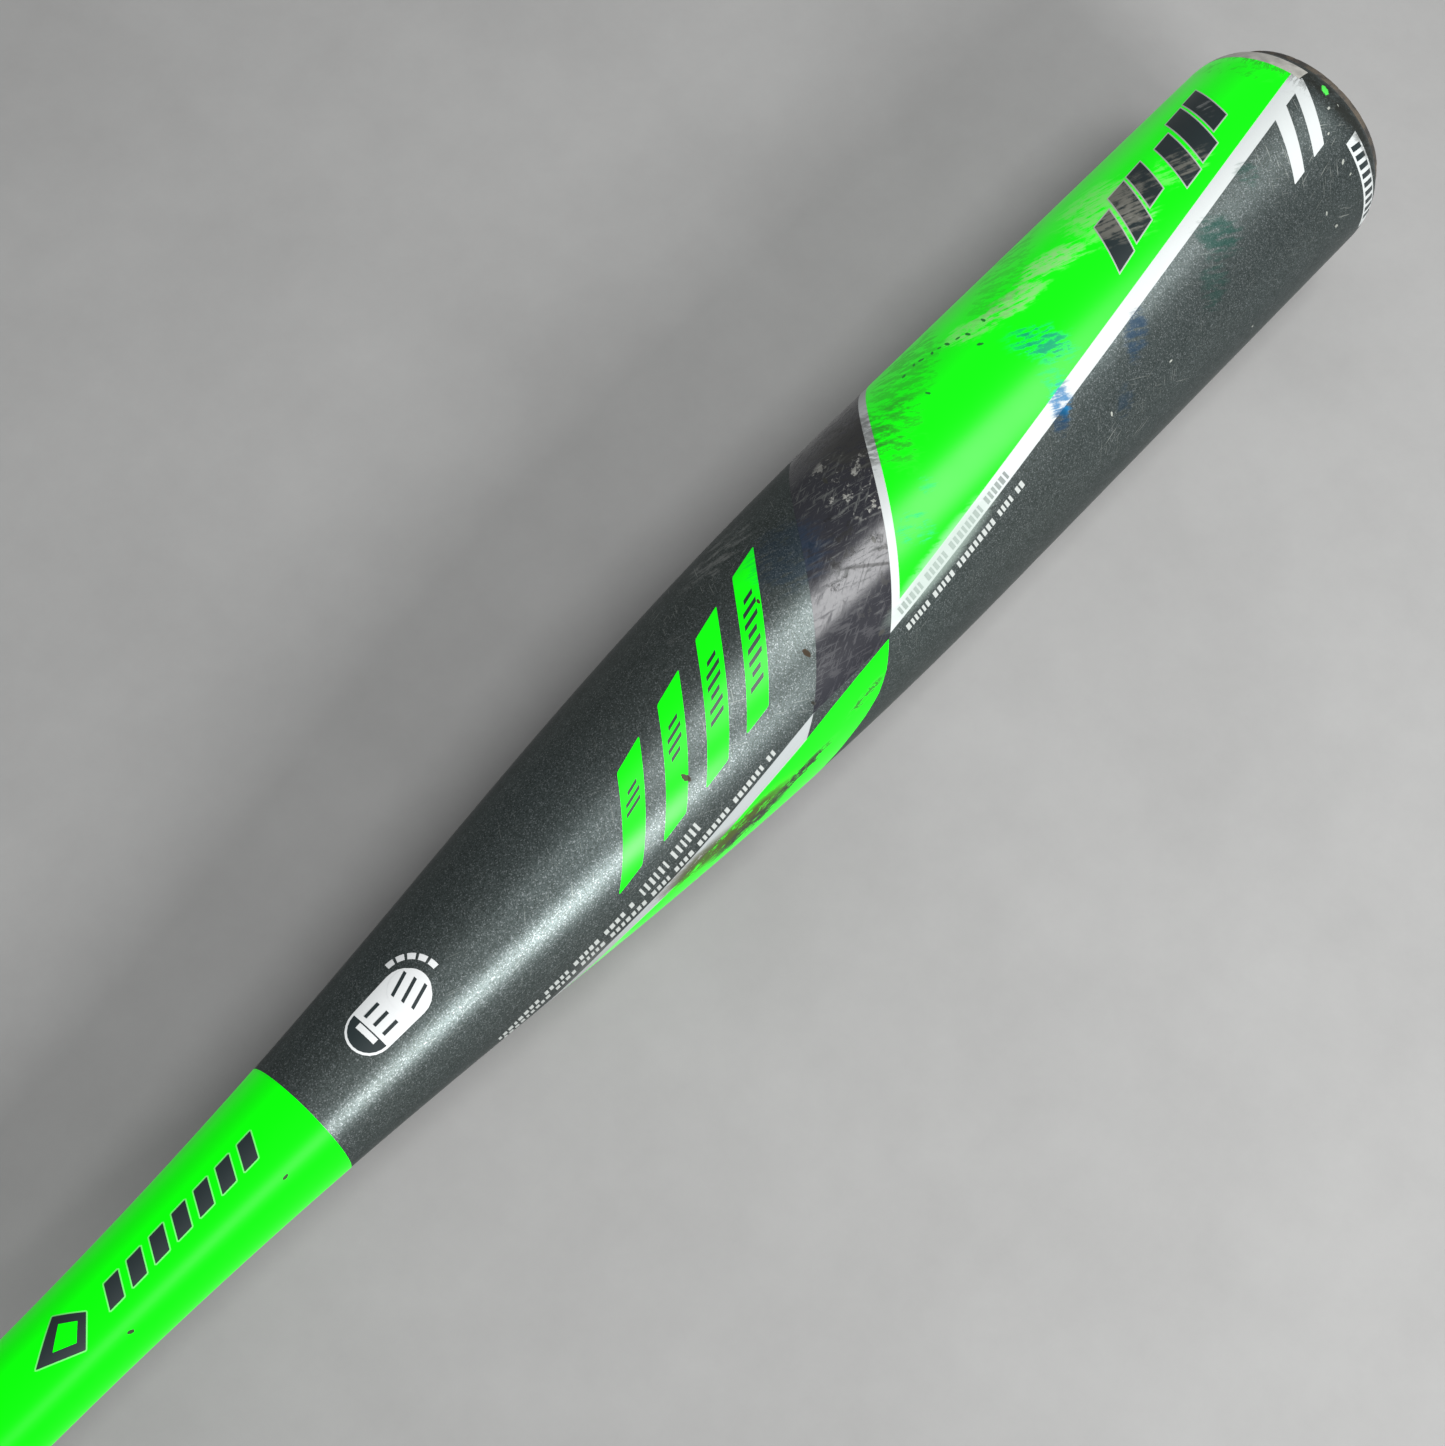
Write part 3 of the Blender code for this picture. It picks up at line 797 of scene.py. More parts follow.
def line_of_dashes(path, height, rng, dash=(0.7, 1.25), gap=(0.5, 0.62), words=(4, 9)):
    """Small print stood in for by plain dashes along a path of (tip, angle) points."""
    lengths = []
    for first, second in zip(path, path[1:]):
        around = math.radians(second[1] - first[1]) * surface_radius((first[0] + second[0]) / 2)
        lengths.append(math.hypot(second[0] - first[0], around))
    dashes = []
    start = 0.0
    left_in_word = rng.randint(*words)
    while True:
        end = start + rng.uniform(*dash)
        if end > sum(lengths):
            return dashes
        corners = []
        for along, side in ((start, -1), (end, -1), (end, 1), (start, 1)):
            index = 0
            while index < len(lengths) - 1 and along > sum(lengths[: index + 1]):
                index += 1
            share = (along - sum(lengths[:index])) / lengths[index]
            tip, angle = between(path[index], path[index + 1], share)
            radius = surface_radius(tip)
            run = path[index + 1][0] - path[index][0]
            rise = math.radians(path[index + 1][1] - path[index][1]) * radius
            norm = math.hypot(run, rise)
            tip -= side * height / 2 * rise / norm
            angle += side * height / 2 * math.degrees(run / norm / radius)
            corners.append((tip, angle))
        dashes.append(corners)
        left_in_word -= 1
        start = end + rng.uniform(*gap) + (0 if left_in_word else 1.3)
        left_in_word = left_in_word or rng.randint(*words)


def quad_point(corners, along, up):
    """The point in a four-cornered area, in shares of the way from its left side and from its bottom."""
    return between(between(corners[0], corners[1], along), between(corners[3], corners[2], along), up)


END_BARS = [
    [(22.2, 13.8), (17.1, 14.6), (27, -16.8), (31.4, -18)],
    [(12.4, 16.6), (7.9, 17.4), (17.7, -13.9), (22.3, -15.1)],
]
BADGE_ANGLE = 11.0
BADGE_LEFT = 337.4
BADGE_RIGHT = 316.0
BADGE_HALF_WIDTH = 5.5
BADGE_BALL_TIP = 320.4
# The paths that lines of small print follow
UPPER_PRINT = [(311.6, -75), (302.3, -67), (287.6, -58.9), (279.1, -55), (271.2, -51)]
SCRIPT_PRINT = [(269, -49.2), (258.2, -43.4), (249.9, -39)]
LOWER_PRINT = [
    (310, -82), (300, -73), (288.4, -66.2), (278.9, -62), (266.1, -56.4), (254.3, -51.2), (241.8, -44.4),
    (226.5, -37.3),
]
STRIPE_PRINT = [(183.3, -29.1), (140.2, -17.7)]
SIDE_PRINT = [(183.6, -38.7), (138.6, -26.8)]
# The two dark marks' areas: lower left, lower right, upper right, upper left
MARK_AREAS = [
    [(83.6, 11.7), (55.9, 22.2), (53, 48.1), (77.9, 43.6)],
    [(53.5, 18.3), (28.1, 25), (24.3, 59.1), (48.7, 54.1)],
]
# Three slanted bars, in shares of an area
MARK_STROKES = [
    [(0.0, 0.0), (0.25, 0.0), (0.35, 0.8), (0.1, 0.8)],
    [(0.33, 0.04), (0.6, 0.04), (0.72, 0.98), (0.45, 0.98)],
    [(0.68, 0.2), (0.92, 0.2), (1.02, 1.0), (0.78, 1.0)],
]


def mm_per_degree(tip):
    """How many millimetres of skin one degree spans at this distance from the tip."""
    return math.radians(1) * surface_radius(tip)


def grown(outline, size):
    """The outline pushed outwards by size millimetres."""
    per_degree = mm_per_degree(outline[0][0])
    flat = [Vector((tip, angle * per_degree)) for tip, angle in outline]
    area = sum(a.x * b.y - b.x * a.y for a, b in zip(flat, flat[1:] + flat[:1]))
    side = 1 if area > 0 else -1
    result = []
    for index, point in enumerate(flat):
        before = (point - flat[index - 1]).normalized()
        after = (flat[(index + 1) % len(flat)] - point).normalized()
        out_before = Vector((before.y, -before.x)) * side
        out_after = Vector((after.y, -after.x)) * side
        push = (out_before + out_after) / max(1 + out_before.dot(out_after), 0.35)
        moved = point + push * size
        result.append((moved.x, moved.y / per_degree))
    return result


def arc(tip, angle, radius, around, start, end, steps):
    """Points on a circle's arc laid on the skin; around is the skin's millimetres per degree."""
    turns = [math.radians(start + (end - start) * step / steps) for step in range(steps + 1)]
    return [(tip + radius * math.cos(turn), angle + radius * math.sin(turn) / around) for turn in turns]


def stadium_outline(left, right, angle, half_height):
    """A pill lying along the bat between two tip distances."""
    around = mm_per_degree((left + right) / 2)
    points = arc(left - half_height, angle, half_height, around, -90, 90, 12)
    return points + arc(right + half_height, angle, half_height, around, 90, 270, 12)


def arc_band(tip, angle, inner, outer, start, end):
    """Part of a ring, its radii in millimetres."""
    around = mm_per_degree(tip)
    ends = [arc(tip, angle, radius, around, start, end, 12) for radius in (outer, inner)]
    return ends[0] + ends[1][::-1]


def build_sleeve(paint):
    """The green paint round the handle, under the tape's edge."""
    tips = [SLEEVE_START + (SLEEVE_END - SLEEVE_START) * step / 50 for step in range(51)]
    lift = FILM_LIFT + FILM_STEP
    outer = [(tip, surface_radius(tip) + lift) for tip in tips]
    inner = [(tip, surface_radius(tip) + FILM_ROOT) for tip in tips]
    mesh = turned_mesh("handle_sleeve_paint", outer + inner[::-1], BODY_SEGMENTS, 40)
    look, slot_name = paint
    return add_piece("handle_sleeve_paint", mesh, look)


def build_graphics(paints):
    green, white = paints["green"], paints["white"]
    without_bounce(build_sleeve(paints["sleeve"]))

    far = PANEL_TURN + 8
    band = [(214, -36.6), (189, -35.6), corner_of(-7.6, WHITE_RIM_TIP)]
    band += [corner_of(far, WHITE_RIM_TIP), corner_of(far, 27)]
    film("black_band_paint", [band], 0, paints["black"])
    white_panel = parallelogram(-WHITE_RIM_ANGLE, PANEL_TURN + WHITE_RIM_ANGLE, WHITE_RIM_TIP, PANEL_TIP)
    film("white_panel_paint", [white_panel], 1, white)
    without_bounce(film("green_panel_paint", [parallelogram(0, PANEL_TURN, 0, PANEL_TIP)], 2, green))
    rim = [(4.8, 18), (PANEL_TIP, 18), (PANEL_TIP + 0.4, 45), (PANEL_TIP + 0.4, 190), (4.8, 188)]
    film("tip_rim_paint", [rim], 3, paints["rim"])

    film("taper_bars_paint", [bevelled(slanted_bar(index), 0.8) for index in range(4)], 0, green)
    without_bounce(film("green_swoosh_paint", [SWOOSH_TOP + SWOOSH_RIGHT], 1, green))
    # Painted shade: the wedge takes a darker copy of the white paint, for the shade on the bat's underside.
    film("white_wedge_paint", [WEDGE_TOP + SWOOSH_TOP[:2:-1]], 0, paints["shaded_white"])
    film("end_bars_paint", [bevelled(bar, 0.3) for bar in END_BARS], 0, white)

    strokes = []
    for area in MARK_AREAS:
        strokes += [[quad_point(area, along, up) for along, up in stroke] for stroke in MARK_STROKES]
    film("mark_outline_paint", [grown(stroke, 0.35) for stroke in strokes], 3, paints["grey"])
    film("mark_paint", strokes, 4, paints["dark"])

    build_badge(paints["bright"], paints["dark"])
    build_handle_mark(paints["halo"], paints["dark"], paints["sleeve"])
    build_small_marks(random.Random(29), paints)


def badge_bar(left, right, low, high, slant=0.0):
    """A bar on the badge, its sides in millimetres round from the badge's middle line."""
    around = mm_per_degree((left + right) / 2)
    sides = (low - slant / 2, low + slant / 2, high + slant / 2, high - slant / 2)
    return [(tip, BADGE_ANGLE + side / around) for tip, side in zip((left, right, right, left), sides)]


def build_badge(white, dark):
    """A plain pill on the taper, with a disc, bars and a broken arc where the real one has its words."""
    pill = stadium_outline(BADGE_LEFT, BADGE_RIGHT, BADGE_ANGLE, BADGE_HALF_WIDTH)
    film("badge_paint", [pill], 0, white)
    film("badge_inside_paint", [[point for point in grown(pill, -0.55) if point[0] > 325.5]], 1, dark)
    film("badge_bar_paint", [badge_bar(333.6, 332.2, -2.6, 2.6)], 2, white)
    ball = arc(BADGE_BALL_TIP, BADGE_ANGLE, 4.7, mm_per_degree(BADGE_BALL_TIP), 0, 360, 28)[:-1]
    film("badge_ball_paint", [ball], 1, white)
    dark_bars = [badge_bar(330.7, 326.7, side - 0.4, side + 0.4) for side in (-2.7, 0.0, 2.7)]
    for side in (-2.5, 0.0, 2.5):
        dark_bars.append(badge_bar(323.2 + side * 0.2, 317.6 + side * 0.2, side - 0.4, side + 0.4, 1.6))
    film("badge_dark_bars_paint", dark_bars, 2, dark)
    starts = (95, 114, 133, 152, 171)
    bands = [arc_band(BADGE_BALL_TIP, BADGE_ANGLE, 6.7, 8.1, start, start + 14) for start in starts]
    film("badge_arc_paint", bands, 0, white)


def build_handle_mark(halo, dark, green):
    """Seven slanted bars and an open diamond where the handle carries its name."""
    diamond = [(426.0, 9.0), (416.6, -12.0), (411.4, 15.0), (416.6, 38.0)]
    shapes = [bevelled(diamond, 0.6)]
    for index in range(7):
        tip = 408.0 - 6.3 * index
        low, high = 0.6 * index, 0.3 * index
        bar = [(tip, -1.4 + low), (tip - 3.9, -1.0 + low), (tip - 6.7, 22.6 + high), (tip - 2.8, 22.3 + high)]
        shapes.append(bevelled(bar, 0.4))
    film("handle_mark_outline_paint", [grown(shape, 0.3) for shape in shapes], 2, halo)
    film("handle_mark_paint", shapes, 3, dark)
    core = [(421.4, 9.6), (416.9, -0.4), (413.8, 14.6), (416.8, 26.6)]
    film("handle_mark_core_paint", [core], 4, green)


def build_small_marks(rng, paints):
    """Dashes and slants in place of the small print."""
    dashes = line_of_dashes(UPPER_PRINT, 1.5, rng) + line_of_dashes(LOWER_PRINT, 1.5, rng)
    dashes += line_of_dashes(SCRIPT_PRINT, 2.6, rng, (0.5, 0.8), (0.75, 0.95), (6, 6))
    film("taper_dashes_paint", dashes, 2, paints["dash"])
    film("stripe_dashes_paint", line_of_dashes(STRIPE_PRINT, 1.9, rng), 2, paints["print"])
    film("side_dashes_paint", line_of_dashes(SIDE_PRINT, 1.6, rng), 0, paints["dash"])
    film("nose_label_paint", [[(7.2, -21), (12.2, -22), (12.2, -77), (7.2, -78)]], 0, paints["white"])
    slants = []
    for index in range(9):
        angle = -25.0 - 5.4 * index
        slants.append([(11.5, angle), (7.9, angle - 1.4), (7.9, angle - 4.4), (11.5, angle - 3.0)])
    film("nose_label_dashes_paint", slants, 1, paints["dark"])
    bar_dashes = []
    for index, count in enumerate((3, 4, 6, 8)):
        bar = slanted_bar(index)
        area = [bar[2], bar[3], bar[0], bar[1]]
        for dash in range(count):
            low = 0.72 - 0.075 * dash
            high = low + 0.035
            wide = 0.3 if dash % 3 else 0.2
            cells = ((0.5 - wide, low), (0.5 + wide, low), (0.5 + wide, high), (0.5 - wide, high))
            bar_dashes.append([quad_point(area, *cell) for cell in cells])
    film("bar_dashes_paint", bar_dashes, 1, paints["dark"])


# ---- The end cap ----
CAP_FACE_RADIUS = 23.1
CAP_ROLL_DEPTH = 2.45
CAP_ROLL_RADIUS = 25.0
CAP_NECK = (3.75, 23.3)
DISH_RIM_RADIUS = 15.8
DISH_FLOOR_RADIUS = 13.0
DISH_DEPTH = 2.8
CAP_CLEARANCE = 0.3
GLUE_GROOVE = (15.5, 21.5)
GLUE_GROOVE_RADIUS = 25.3
SKIRT_END = 26.0
SKIRT_BORE = 24.0
CAP_WEB_DEPTH = 5.6
CAP_WEB_RADIUS = 19.5
CAP_WORN_DEPTH = 3.8
CAP_SEGMENTS = 180
RIB_COUNT = 12


def smooth(value):
    value = min(max(value, 0.0), 1.0)
    return value * value * (3 - 2 * value)


def rough_height(point, size, seed):
    """Steady noise from -1 to 1 at this size in millimetres."""
    return steady_noise.noise(Vector((point[0] + seed * 31.7, point[1] - seed * 17.3, point[2])) / size)


def cap_relief(radius, angle):
    """How far the dish's floor stands up towards the tip: a centre boss, a ring and radial ribs."""
    boss = 0.9 * smooth((4.6 - radius) / 0.7) - 0.6 * smooth((2.2 - radius) / 0.6)
    ring = 0.7 * smooth((radius - 10.6) / 0.4) * smooth((12.0 - radius) / 0.4)
    turn = (angle * RIB_COUNT / 360 + 0.5) % 1 - 0.5
    across = abs(turn) * math.tau * radius / RIB_COUNT
    rib = 0.7 * smooth((0.85 - across) / 0.35) * smooth((radius - 4.2) / 0.4) * smooth((11.2 - radius) / 0.4)
    return max(boss, ring, rib) if radius > 2.9 else boss


def cap_point(tip, radius, angle):
    """A world point of the cap, with its floor's relief and the dents in its ring."""
    worn = 0.0
    if tip < CAP_WORN_DEPTH and radius > DISH_FLOOR_RADIUS:
        spot = (tip, radius * math.cos(math.radians(angle)), radius * math.sin(math.radians(angle)))
        dents = max(rough_height(spot, 2.6, 1) - 0.25, 0) * 0.45
        worn = max(dents + 0.05 * rough_height(spot, 0.9, 2), 0.0)
    raised = cap_relief(radius, angle) if tip == DISH_DEPTH and radius < DISH_FLOOR_RADIUS else 0.0
    inward = 0.6 * worn if radius > CAP_FACE_RADIUS else 0.0
    return bat_point(tip - raised + worn, radius - inward, angle)


def build_end_cap(look):
    profile = [(DISH_DEPTH, 0.25 * step) for step in range(51)]
    profile += [(DISH_DEPTH - 0.15, DISH_FLOOR_RADIUS), (DISH_DEPTH - 0.9, DISH_FLOOR_RADIUS + 1.0)]
    for depth, past_rim in ((0.9, -0.9), (0.3, -0.1), (0.05, 0.5), (0, 1.1)):
        profile.append((depth, DISH_RIM_RADIUS + past_rim))
    profile += [(0, 17.6 + 0.6 * step) for step in range(7)]
    for step in range(15):
        turn = math.radians(90 * step / 14)
        radius = CAP_FACE_RADIUS + (CAP_ROLL_RADIUS - CAP_FACE_RADIUS) * math.sin(turn)
        profile.append((CAP_ROLL_DEPTH - CAP_ROLL_DEPTH * math.cos(turn), radius))
    profile.append(((CAP_ROLL_DEPTH + CAP_NECK[0]) / 2, (CAP_ROLL_RADIUS + CAP_NECK[1]) / 2 + 0.25))
    profile.append(CAP_NECK)
    profile += nose_arc(BARREL_WALL + CAP_CLEARANCE, 6)
    skirt = BARREL_RADIUS - BARREL_WALL - CAP_CLEARANCE
    start, end = GLUE_GROOVE
    profile += [(start, skirt), (start, GLUE_GROOVE_RADIUS), (end, GLUE_GROOVE_RADIUS), (end, skirt)]
    profile += [(SKIRT_END, skirt), (SKIRT_END, SKIRT_BORE), (NOSE_START, SKIRT_BORE)]
    profile += [(CAP_WEB_DEPTH, CAP_WEB_RADIUS), (CAP_WEB_DEPTH, 0)]

    mesh = disc_mesh("end_cap_moulding", profile, CAP_SEGMENTS, 40, cap_point)
    add_piece("end_cap_moulding", mesh, look, ["end_cap"])


# ---- The knob and its badge ----
KNOB_RADIUS = 24.0
KNOB_FACE_RADIUS = 20.0
KNOB_RIM_LENGTH = 9.0
KNOB_LENGTH = 20.0
KNOB_NECK_RADIUS = 12.9
KNOB_BORE_RADIUS = 9.35
KNOB_SOCKET_FOOT = 13.7
BADGE_SEAT_RADIUS = 12.7
BADGE_SEAT_DEPTH = 1.9
BADGE_THICKNESS = 1.3
BADGE_SEGMENTS = 128


def from_knob(station):
    """The tip distance of a station, which is a distance from the knob's end face."""
    return LENGTH - station


def knob_point(station, radius, angle):
    return bat_point(from_knob(station), radius, angle)


def build_knob(look):
    outline = []
    for station, past_seat in ((BADGE_SEAT_DEPTH, 0), (0.35, 0), (0.08, 0.12), (0, 0.4)):
        outline.append((station, BADGE_SEAT_RADIUS + past_seat))
    outline += [(0, 14 + step) for step in range(6)]
    for step in range(25):
        turn = math.radians(180 - 180 * step / 24)
        height = (KNOB_RADIUS - KNOB_FACE_RADIUS) * math.sin(turn)
        outline.append((KNOB_RIM_LENGTH / 2 * (1 + math.cos(turn)), KNOB_FACE_RADIUS + height))
    for step in range(1, 17):
        turn = math.radians(180 + 90 * step / 16)
        along = KNOB_LENGTH + (KNOB_LENGTH - KNOB_RIM_LENGTH) * math.cos(turn)
        outline.append((along, KNOB_FACE_RADIUS + (KNOB_FACE_RADIUS - KNOB_NECK_RADIUS) * math.sin(turn)))
    socket = HANDLE_RADIUS + CAP_CLEARANCE
    outline += [(KNOB_LENGTH, socket), (KNOB_SOCKET_FOOT, socket)]
    outline += [(KNOB_SOCKET_FOOT, KNOB_BORE_RADIUS), (BADGE_SEAT_DEPTH, KNOB_BORE_RADIUS)]
    profile = [(from_knob(station), radius) for station, radius in outline]
    mesh = turned_mesh("knob_casting", profile, BODY_SEGMENTS, 45)
    add_piece("knob_casting", mesh, look, ["knob"])


def build_knob_badge(green, dark):
    """A round badge with a raised rim and a plain three-bar sign."""
    front = BADGE_SEAT_DEPTH - CAP_CLEARANCE - BADGE_THICKNESS
    profile = [(front + 0.35, 1.2 * step) for step in range(9)]
    rim = ((0.35, 10.4), (0.1, 10.65), (0, 10.9), (0, 11.7), (0.12, 12.2), (0.4, 12.4))
    profile += [(front + depth, radius) for depth, radius in rim]
    profile += [(front + BADGE_THICKNESS, 12.4), (front + BADGE_THICKNESS, 0)]
    mesh = disc_mesh("knob_badge_disc", profile, BADGE_SEGMENTS, 30, knob_point)
    add_piece("knob_badge_disc", mesh, green, ["knob_badge"])

    bars = bmesh.new()
    for offset, half_length in ((-4.4, 4.6), (0.0, 6.4), (4.4, 4.6)):
        corners = []
        for depth in (front + 0.4, front + 0.12):
            for side, end in ((-1, -1), (1, -1), (1, 1), (-1, 1)):
                across = offset + side * 1.3
                up = end * half_length + side * 0.5
                shift = AWAY * across * MM + TOWARDS_CAMERA * up * MM
                corners.append(bars.verts.new(knob_point(depth, 0, 0) + shift))
        low, high = corners[:4], corners[4:]
        bars.faces.new(low)
        bars.faces.new(high[::-1])
        for index in range(4):
            after = (index + 1) % 4
            bars.faces.new((low[after], low[index], high[index], high[after]))
    bmesh.ops.recalc_face_normals(bars, faces=bars.faces)
    bmesh.ops.bevel(bars, geom=bars.edges[:], offset=0.08 * MM, segments=2, affect="EDGES", profile=0.5)
    add_piece("knob_badge_bars", finished_mesh(bars, "knob_badge_bars", 40), dark)


# ---- The grip ----
GRIP_START = 17.5
GRIP_STOP = 251.7
GRIP_PITCH = 24.0
GRIP_THICKNESS = 1.5
GRIP_LAP = 0.5
GRIP_COLLAR = 13.5
GRIP_BORE = 12.3
GRIP_COLUMNS = 112
# Places across the strip's width where its mesh has a row, in millimetres from its start
STRIP_ROWS = (
    0, 0.5, 1.4, 3, 5, 7.5, 10, 12.5, 15, 17, 18.5, 19.6, 20.8, 21.8, 22.6, 23.1, 23.4, 23.62, 23.8, 23.93,
)


def grip_bore(station):
    share = smooth((station - 21.0) / 7.0)
    return GRIP_COLLAR + share * (GRIP_BORE - GRIP_COLLAR)


def strip_height(across):
    """The lap's height: the strip climbs softly over the turn before it and ends in a rounded edge."""
    climb = 0.1 * across / GRIP_PITCH + 0.9 * smooth((across - 16.5) / 4.0)
    edge = min(max((GRIP_PITCH - across) / 0.7, 0), 1)
    dip = 0.12 * smooth((2.2 - across) / 2.2)
    return GRIP_LAP * (climb * math.sqrt(1 - (1 - edge) ** 2)) - dip * GRIP_LAP


def build_grip(look):
    rows = []
    turns = int((GRIP_STOP - GRIP_START) / GRIP_PITCH) + 3
    for turn in range(-1, turns):
        rows += [GRIP_START + GRIP_PITCH * turn + across for across in STRIP_ROWS]
    work = bmesh.new()
    made = {}

    def corner(row, column):
        if column == GRIP_COLUMNS:
            row, column = row + len(STRIP_ROWS), 0
        if row >= len(rows):
            return None
        share = column / GRIP_COLUMNS
        station = min(max(rows[row] + GRIP_PITCH * share, GRIP_START), GRIP_STOP)
        key = (column, round(station, 4))
        if key not in made:
            across = (station - GRIP_START - GRIP_PITCH * share) % GRIP_PITCH
            radius = grip_bore(station) + GRIP_THICKNESS + strip_height(across)
            spot = (station, radius * math.cos(share * math.tau), radius * math.sin(share * math.tau))
            radius += 0.05 * rough_height(spot, 6.0, 3)
            shoulder = min(station - GRIP_START, GRIP_STOP - station)
            radius -= 0.5 * (1 - smooth(shoulder / 0.9))
            made[key] = work.verts.new(bat_point(from_knob(station), radius, -360 * share))
        return made[key]

    for row in range(len(rows) - 1):
        for column in range(GRIP_COLUMNS):
            corners = [corner(row, column), corner(row, column + 1)]
            corners += [corner(row + 1, column + 1), corner(row + 1, column)]
            if None in corners:
                continue
            unique = list(dict.fromkeys(corners))
            if len(unique) > 2:
                work.faces.new(unique)
    inner_stations = [GRIP_STOP, 120.0, 28.0, 24.0, 21.0, GRIP_START]
    rings = [[made[(column, GRIP_STOP)] for column in range(GRIP_COLUMNS)]]
    for station in inner_stations:
        turned = [-360 * column / GRIP_COLUMNS for column in range(GRIP_COLUMNS)]
        rings.append([work.verts.new(knob_point(station, grip_bore(station), angle)) for angle in turned])
    rings.append([made[(column, GRIP_START)] for column in range(GRIP_COLUMNS)])
    bridge(work, rings, GRIP_COLUMNS)
    add_piece("grip_strip", finished_mesh(work, "grip_strip", 50), look, ["grip_wrap"])


TAPE_START = 252.0
TAPE_END = 276.0
TAPE_RADIUS = 13.8
TAPE_BORE = 11.4
TAPE_SKIN = 11.8  # the tape's wrinkles are on its outside, past this radius
TAPE_PLY = 0.18


def tape_wobble(tip, radius, angle):
    """Shallow wrinkles, and the free end of the tape lying over its first turn."""
    station = LENGTH - tip
    if radius < TAPE_SKIN or station < TAPE_START + 0.5:
        return 0.0
    spot = (station, radius * math.cos(math.radians(angle)), radius * math.sin(math.radians(angle)))
    free_end = TAPE_PLY * smooth(((angle - 2.0 * station) % 360 - 215) / 4)
    return 0.05 * rough_height(spot, 2.2, 5) + free_end - TAPE_PLY


def build_tape(look):
    outline = [(TAPE_START, TAPE_BORE), (TAPE_START, TAPE_RADIUS - 0.3), (252.3, TAPE_RADIUS - 0.05)]
    outline += [(252.8 + 0.75 * step, TAPE_RADIUS) for step in range(15)]
    outline += [(264.3, 13.5), (265.3, 12.9), (266.4, 12.4), (267.6, 12.15)]
    outline += [(268.6 + 0.8 * step, 12.1) for step in range(9)]
    outline += [(275.6, 12.05), (TAPE_END, 11.9), (TAPE_END, TAPE_BORE)]
    profile = [(from_knob(station), radius) for station, radius in outline]
    mesh = turned_mesh("grip_end_tape", profile, 160, 50, tape_wobble)
    add_piece("grip_end_tape", mesh, look, ["grip_finish_tape"])


# ---- The set ----


def build_floor():
    """A plain pale floor, matt, with faint mottling."""
    work = bmesh.new()
    bmesh.ops.create_grid(work, x_segments=8, y_segments=8, size=12.0)
    mesh = bpy.data.meshes.new("floor")
    work.to_mesh(mesh)
    work.free()
    floor = bpy.data.objects.new("floor", mesh)
    bpy.context.scene.collection.objects.link(floor)
    made, tree, shader = new_material("pale_floor")
    mottle = noise(tree, 14, 12.0, 0.72)
    tint = mix_colour(tree, mottle, (0.235, 0.234, 0.23), (0.345, 0.345, 0.34))
    set_inputs(tree, shader, Base_Color=tint, Roughness=0.75)
    mesh.materials.append(made)


def aim(thing, direction_from, right):
    """Turns a light or camera to look along a direction, with its own right as near as can be to this one."""
    back = -direction_from.normalized()
    side = (right - back * right.dot(back)).normalized()
    turned = Matrix((side, back.cross(side), back)).transposed().to_4x4()
    thing.matrix_world = Matrix.Translation(thing.location) @ turned


def build_camera():
    camera = bpy.data.objects.new("camera", bpy.data.cameras.new("camera"))
    bpy.context.scene.collection.objects.link(camera)
    camera.location = TIP - AXIS * CAMERA_TIP_DISTANCE * MM + TOWARDS_CAMERA * CAMERA_HEIGHT * MM
    target = TIP - AXIS * AIM_TIP_DISTANCE * MM + AWAY * AIM_SIDE * MM
    view = (target - camera.location).normalized()
    along = (AXIS - view * AXIS.dot(view)).normalized()
    across = along.cross(view)
    right = math.cos(BAT_ANGLE_IN_VIEW) * along - math.sin(BAT_ANGLE_IN_VIEW) * across
    aim(camera, view, right)
    camera.data.lens = CAMERA_LENS
    camera.data.sensor_width = 36
    camera.data.clip_start = 0.01
    bpy.context.scene.camera = camera


def softbox(name, cross_angle, lean, tip, distance, length, width, power):
    """An area light over a point of the axis, round the bat from the camera and leaning to the tip."""
    light = bpy.data.objects.new(name, bpy.data.lights.new(name, "AREA"))
    bpy.context.scene.collection.objects.link(light)
    out = math.cos(math.radians(lean)) * outward(cross_angle) + math.sin(math.radians(lean)) * AXIS
    centre = TIP - AXIS * tip * MM
    light.location = centre + out * distance
    light.data.shape = "RECTANGLE"
    light.data.size = length
    light.data.size_y = width
    light.data.energy = power
    aim(light, -out, AXIS)
    return light


def build_lights():
    scene = bpy.context.scene
    scene.view_settings.view_transform = "Standard"
    scene.world = bpy.data.worlds.new("studio")
    scene.world.use_nodes = True
    background = scene.world.node_tree.nodes["Background"]
    background.inputs["Color"].default_value = (0.96, 0.98, 1.0, 1)
    background.inputs["Strength"].default_value = 0.255
    softbox("key_softbox", -45, 0, 230, 1.0, 0.32, 0.26, 8.6)
    softbox("overhead_softbox", -4, 20, 160, 0.95, 0.44, 0.5, 8.0)
    side = softbox("side_softbox", -58, -8, 260, 1.6, 1.1, 0.8, 6.8)
    side.visible_glossy = False


NEON = (0.002, 0.86, 0.002)
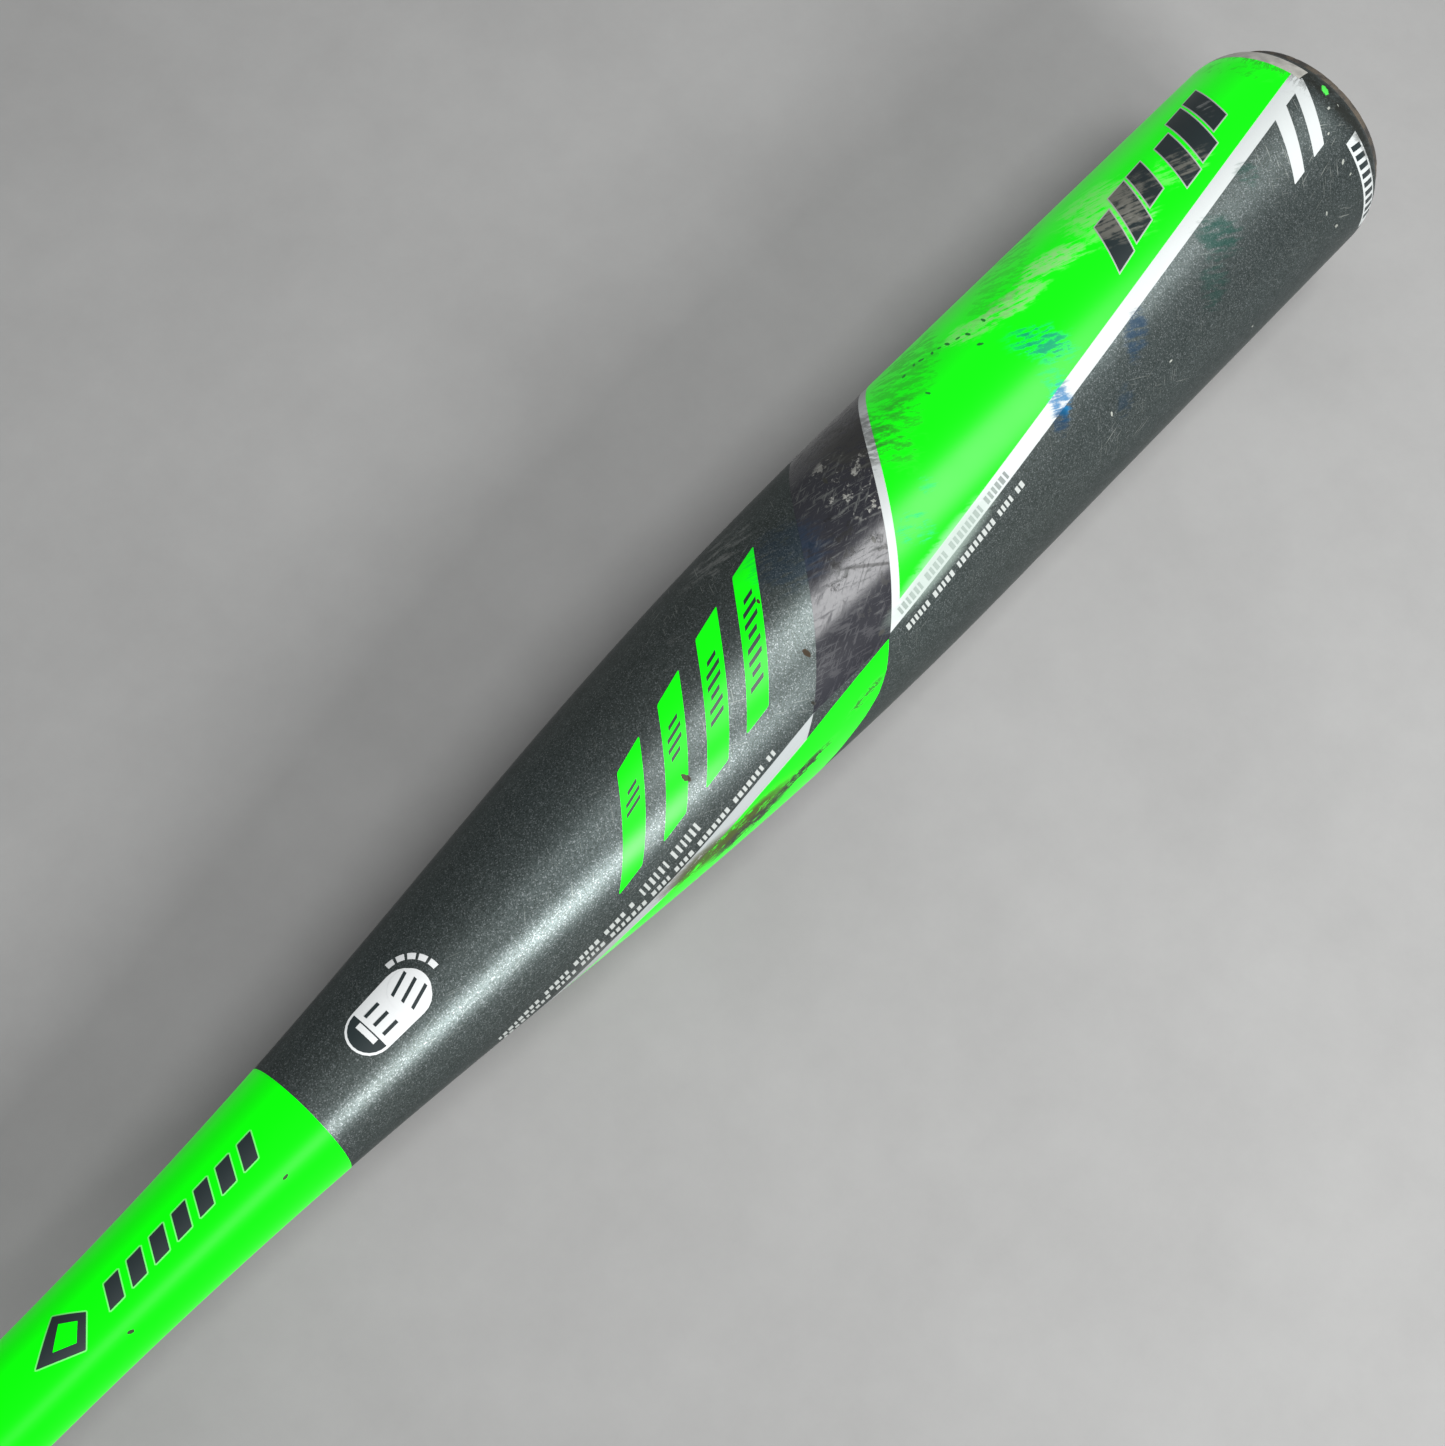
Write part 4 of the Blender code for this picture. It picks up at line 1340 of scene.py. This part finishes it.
# Each plain paint's material, slot and colour, then its roughness, variation, glow, coat, specular and tint
PAINTS = {
    "green": ("neon_green_paint", "green_paint", NEON, 0.3, 0.08, 0.26, 0.08, 0.34, 0.6),
    "sleeve": ("handle_green_paint", "green_paint", NEON, 0.33, 0.08, 0.36, 0.06, 0.3),
    "white": ("white_paint", "white_paint", (0.5, 0.53, 0.525), 0.45, 0.1, 0.0, 0.1),
    # Painted light: the badge's white is a lighter copy of the white paint, standing in for more light
    # falling on it.
    "bright": ("badge_white_painted_light", "white_paint", (0.68, 0.7, 0.7), 0.5, 0.08, 0.0, 0.1),
    # Painted shade: a darker copy of the white paint, for the wedge on the bat's shaded underside.
    "shaded_white": ("wedge_white_painted_shade", "white_paint", (0.36, 0.39, 0.39), 0.5, 0.15, 0.0, 0.1),
    "dark": ("dark_mark_paint", "black_paint", (0.013, 0.023, 0.025), 0.4, 0.3, 0.0, 0.15, 0.4),
    "grey": ("grey_mark_paint", "white_paint", (0.42, 0.47, 0.43), 0.4, 0.3),
    "halo": ("pale_green_paint", "green_paint", (0.16, 0.75, 0.16), 0.4, 0.2, 0.1, 0.1, 0.3),
    "print": ("stripe_print_paint", "black_paint", (0.24, 0.27, 0.26), 0.4, 0.6),
    "dash": ("pale_dash_paint", "white_paint", (0.45, 0.48, 0.46), 0.45, 0.4),
}


def make_paints(group):
    """Each paint of the graphics: its material, and its slot."""
    paints = {}
    for key, (name, slot_name, colour, *values) in PAINTS.items():
        paints[key] = (solid_paint(name, group, colour, *values), slot_name)
    paints["black"] = (black_band_paint(group), "black_paint")
    paints["rim"] = (plain_look("worn_rim", (0.58, 0.57, 0.52), 0.55, 0.0, 420, 0.75), "white_paint")
    return paints


# The CAD nodes that keep their meshes: material, colour, roughness, metallic, noise scale and variation
HIDDEN_LOOKS = {
    "end_cap_adhesive": ("adhesive_bead", (0.5, 0.42, 0.25), 0.45),
    "knob_weld": ("weld_alloy", (0.55, 0.56, 0.57), 0.4, 1.0, 900, 0.35),
    "knob_plug": ("plug_rubber", (0.025, 0.025, 0.025), 0.8),
    "balance_weight": ("cast_weight", (0.35, 0.34, 0.33), 0.5, 1.0, 400, 0.4),
    "grip_backing": ("woven_underlay", (0.55, 0.53, 0.48), 0.9, 0.0, 700, 0.3),
}


def main():
    build_camera()
    build_lights()
    build_floor()
    group = make_scuffs()
    charcoal = charcoal_paint(group)
    paints = make_paints(group)
    build_tube(charcoal)
    build_graphics(paints)
    build_end_cap(cap_look())
    build_knob(charcoal)
    build_knob_badge(paints["green"][0], paints["dark"][0])
    build_grip(grip_look())
    build_tape(plain_look("tape_vinyl", (0.022, 0.022, 0.024), 0.42, 0.0, 140, 0.45, 0.1 * MM))
    for name, values in HIDDEN_LOOKS.items():
        frame["nodes"][name].material_slots[0].material = plain_look(*values)


main()
bpy.context.view_layer.update()
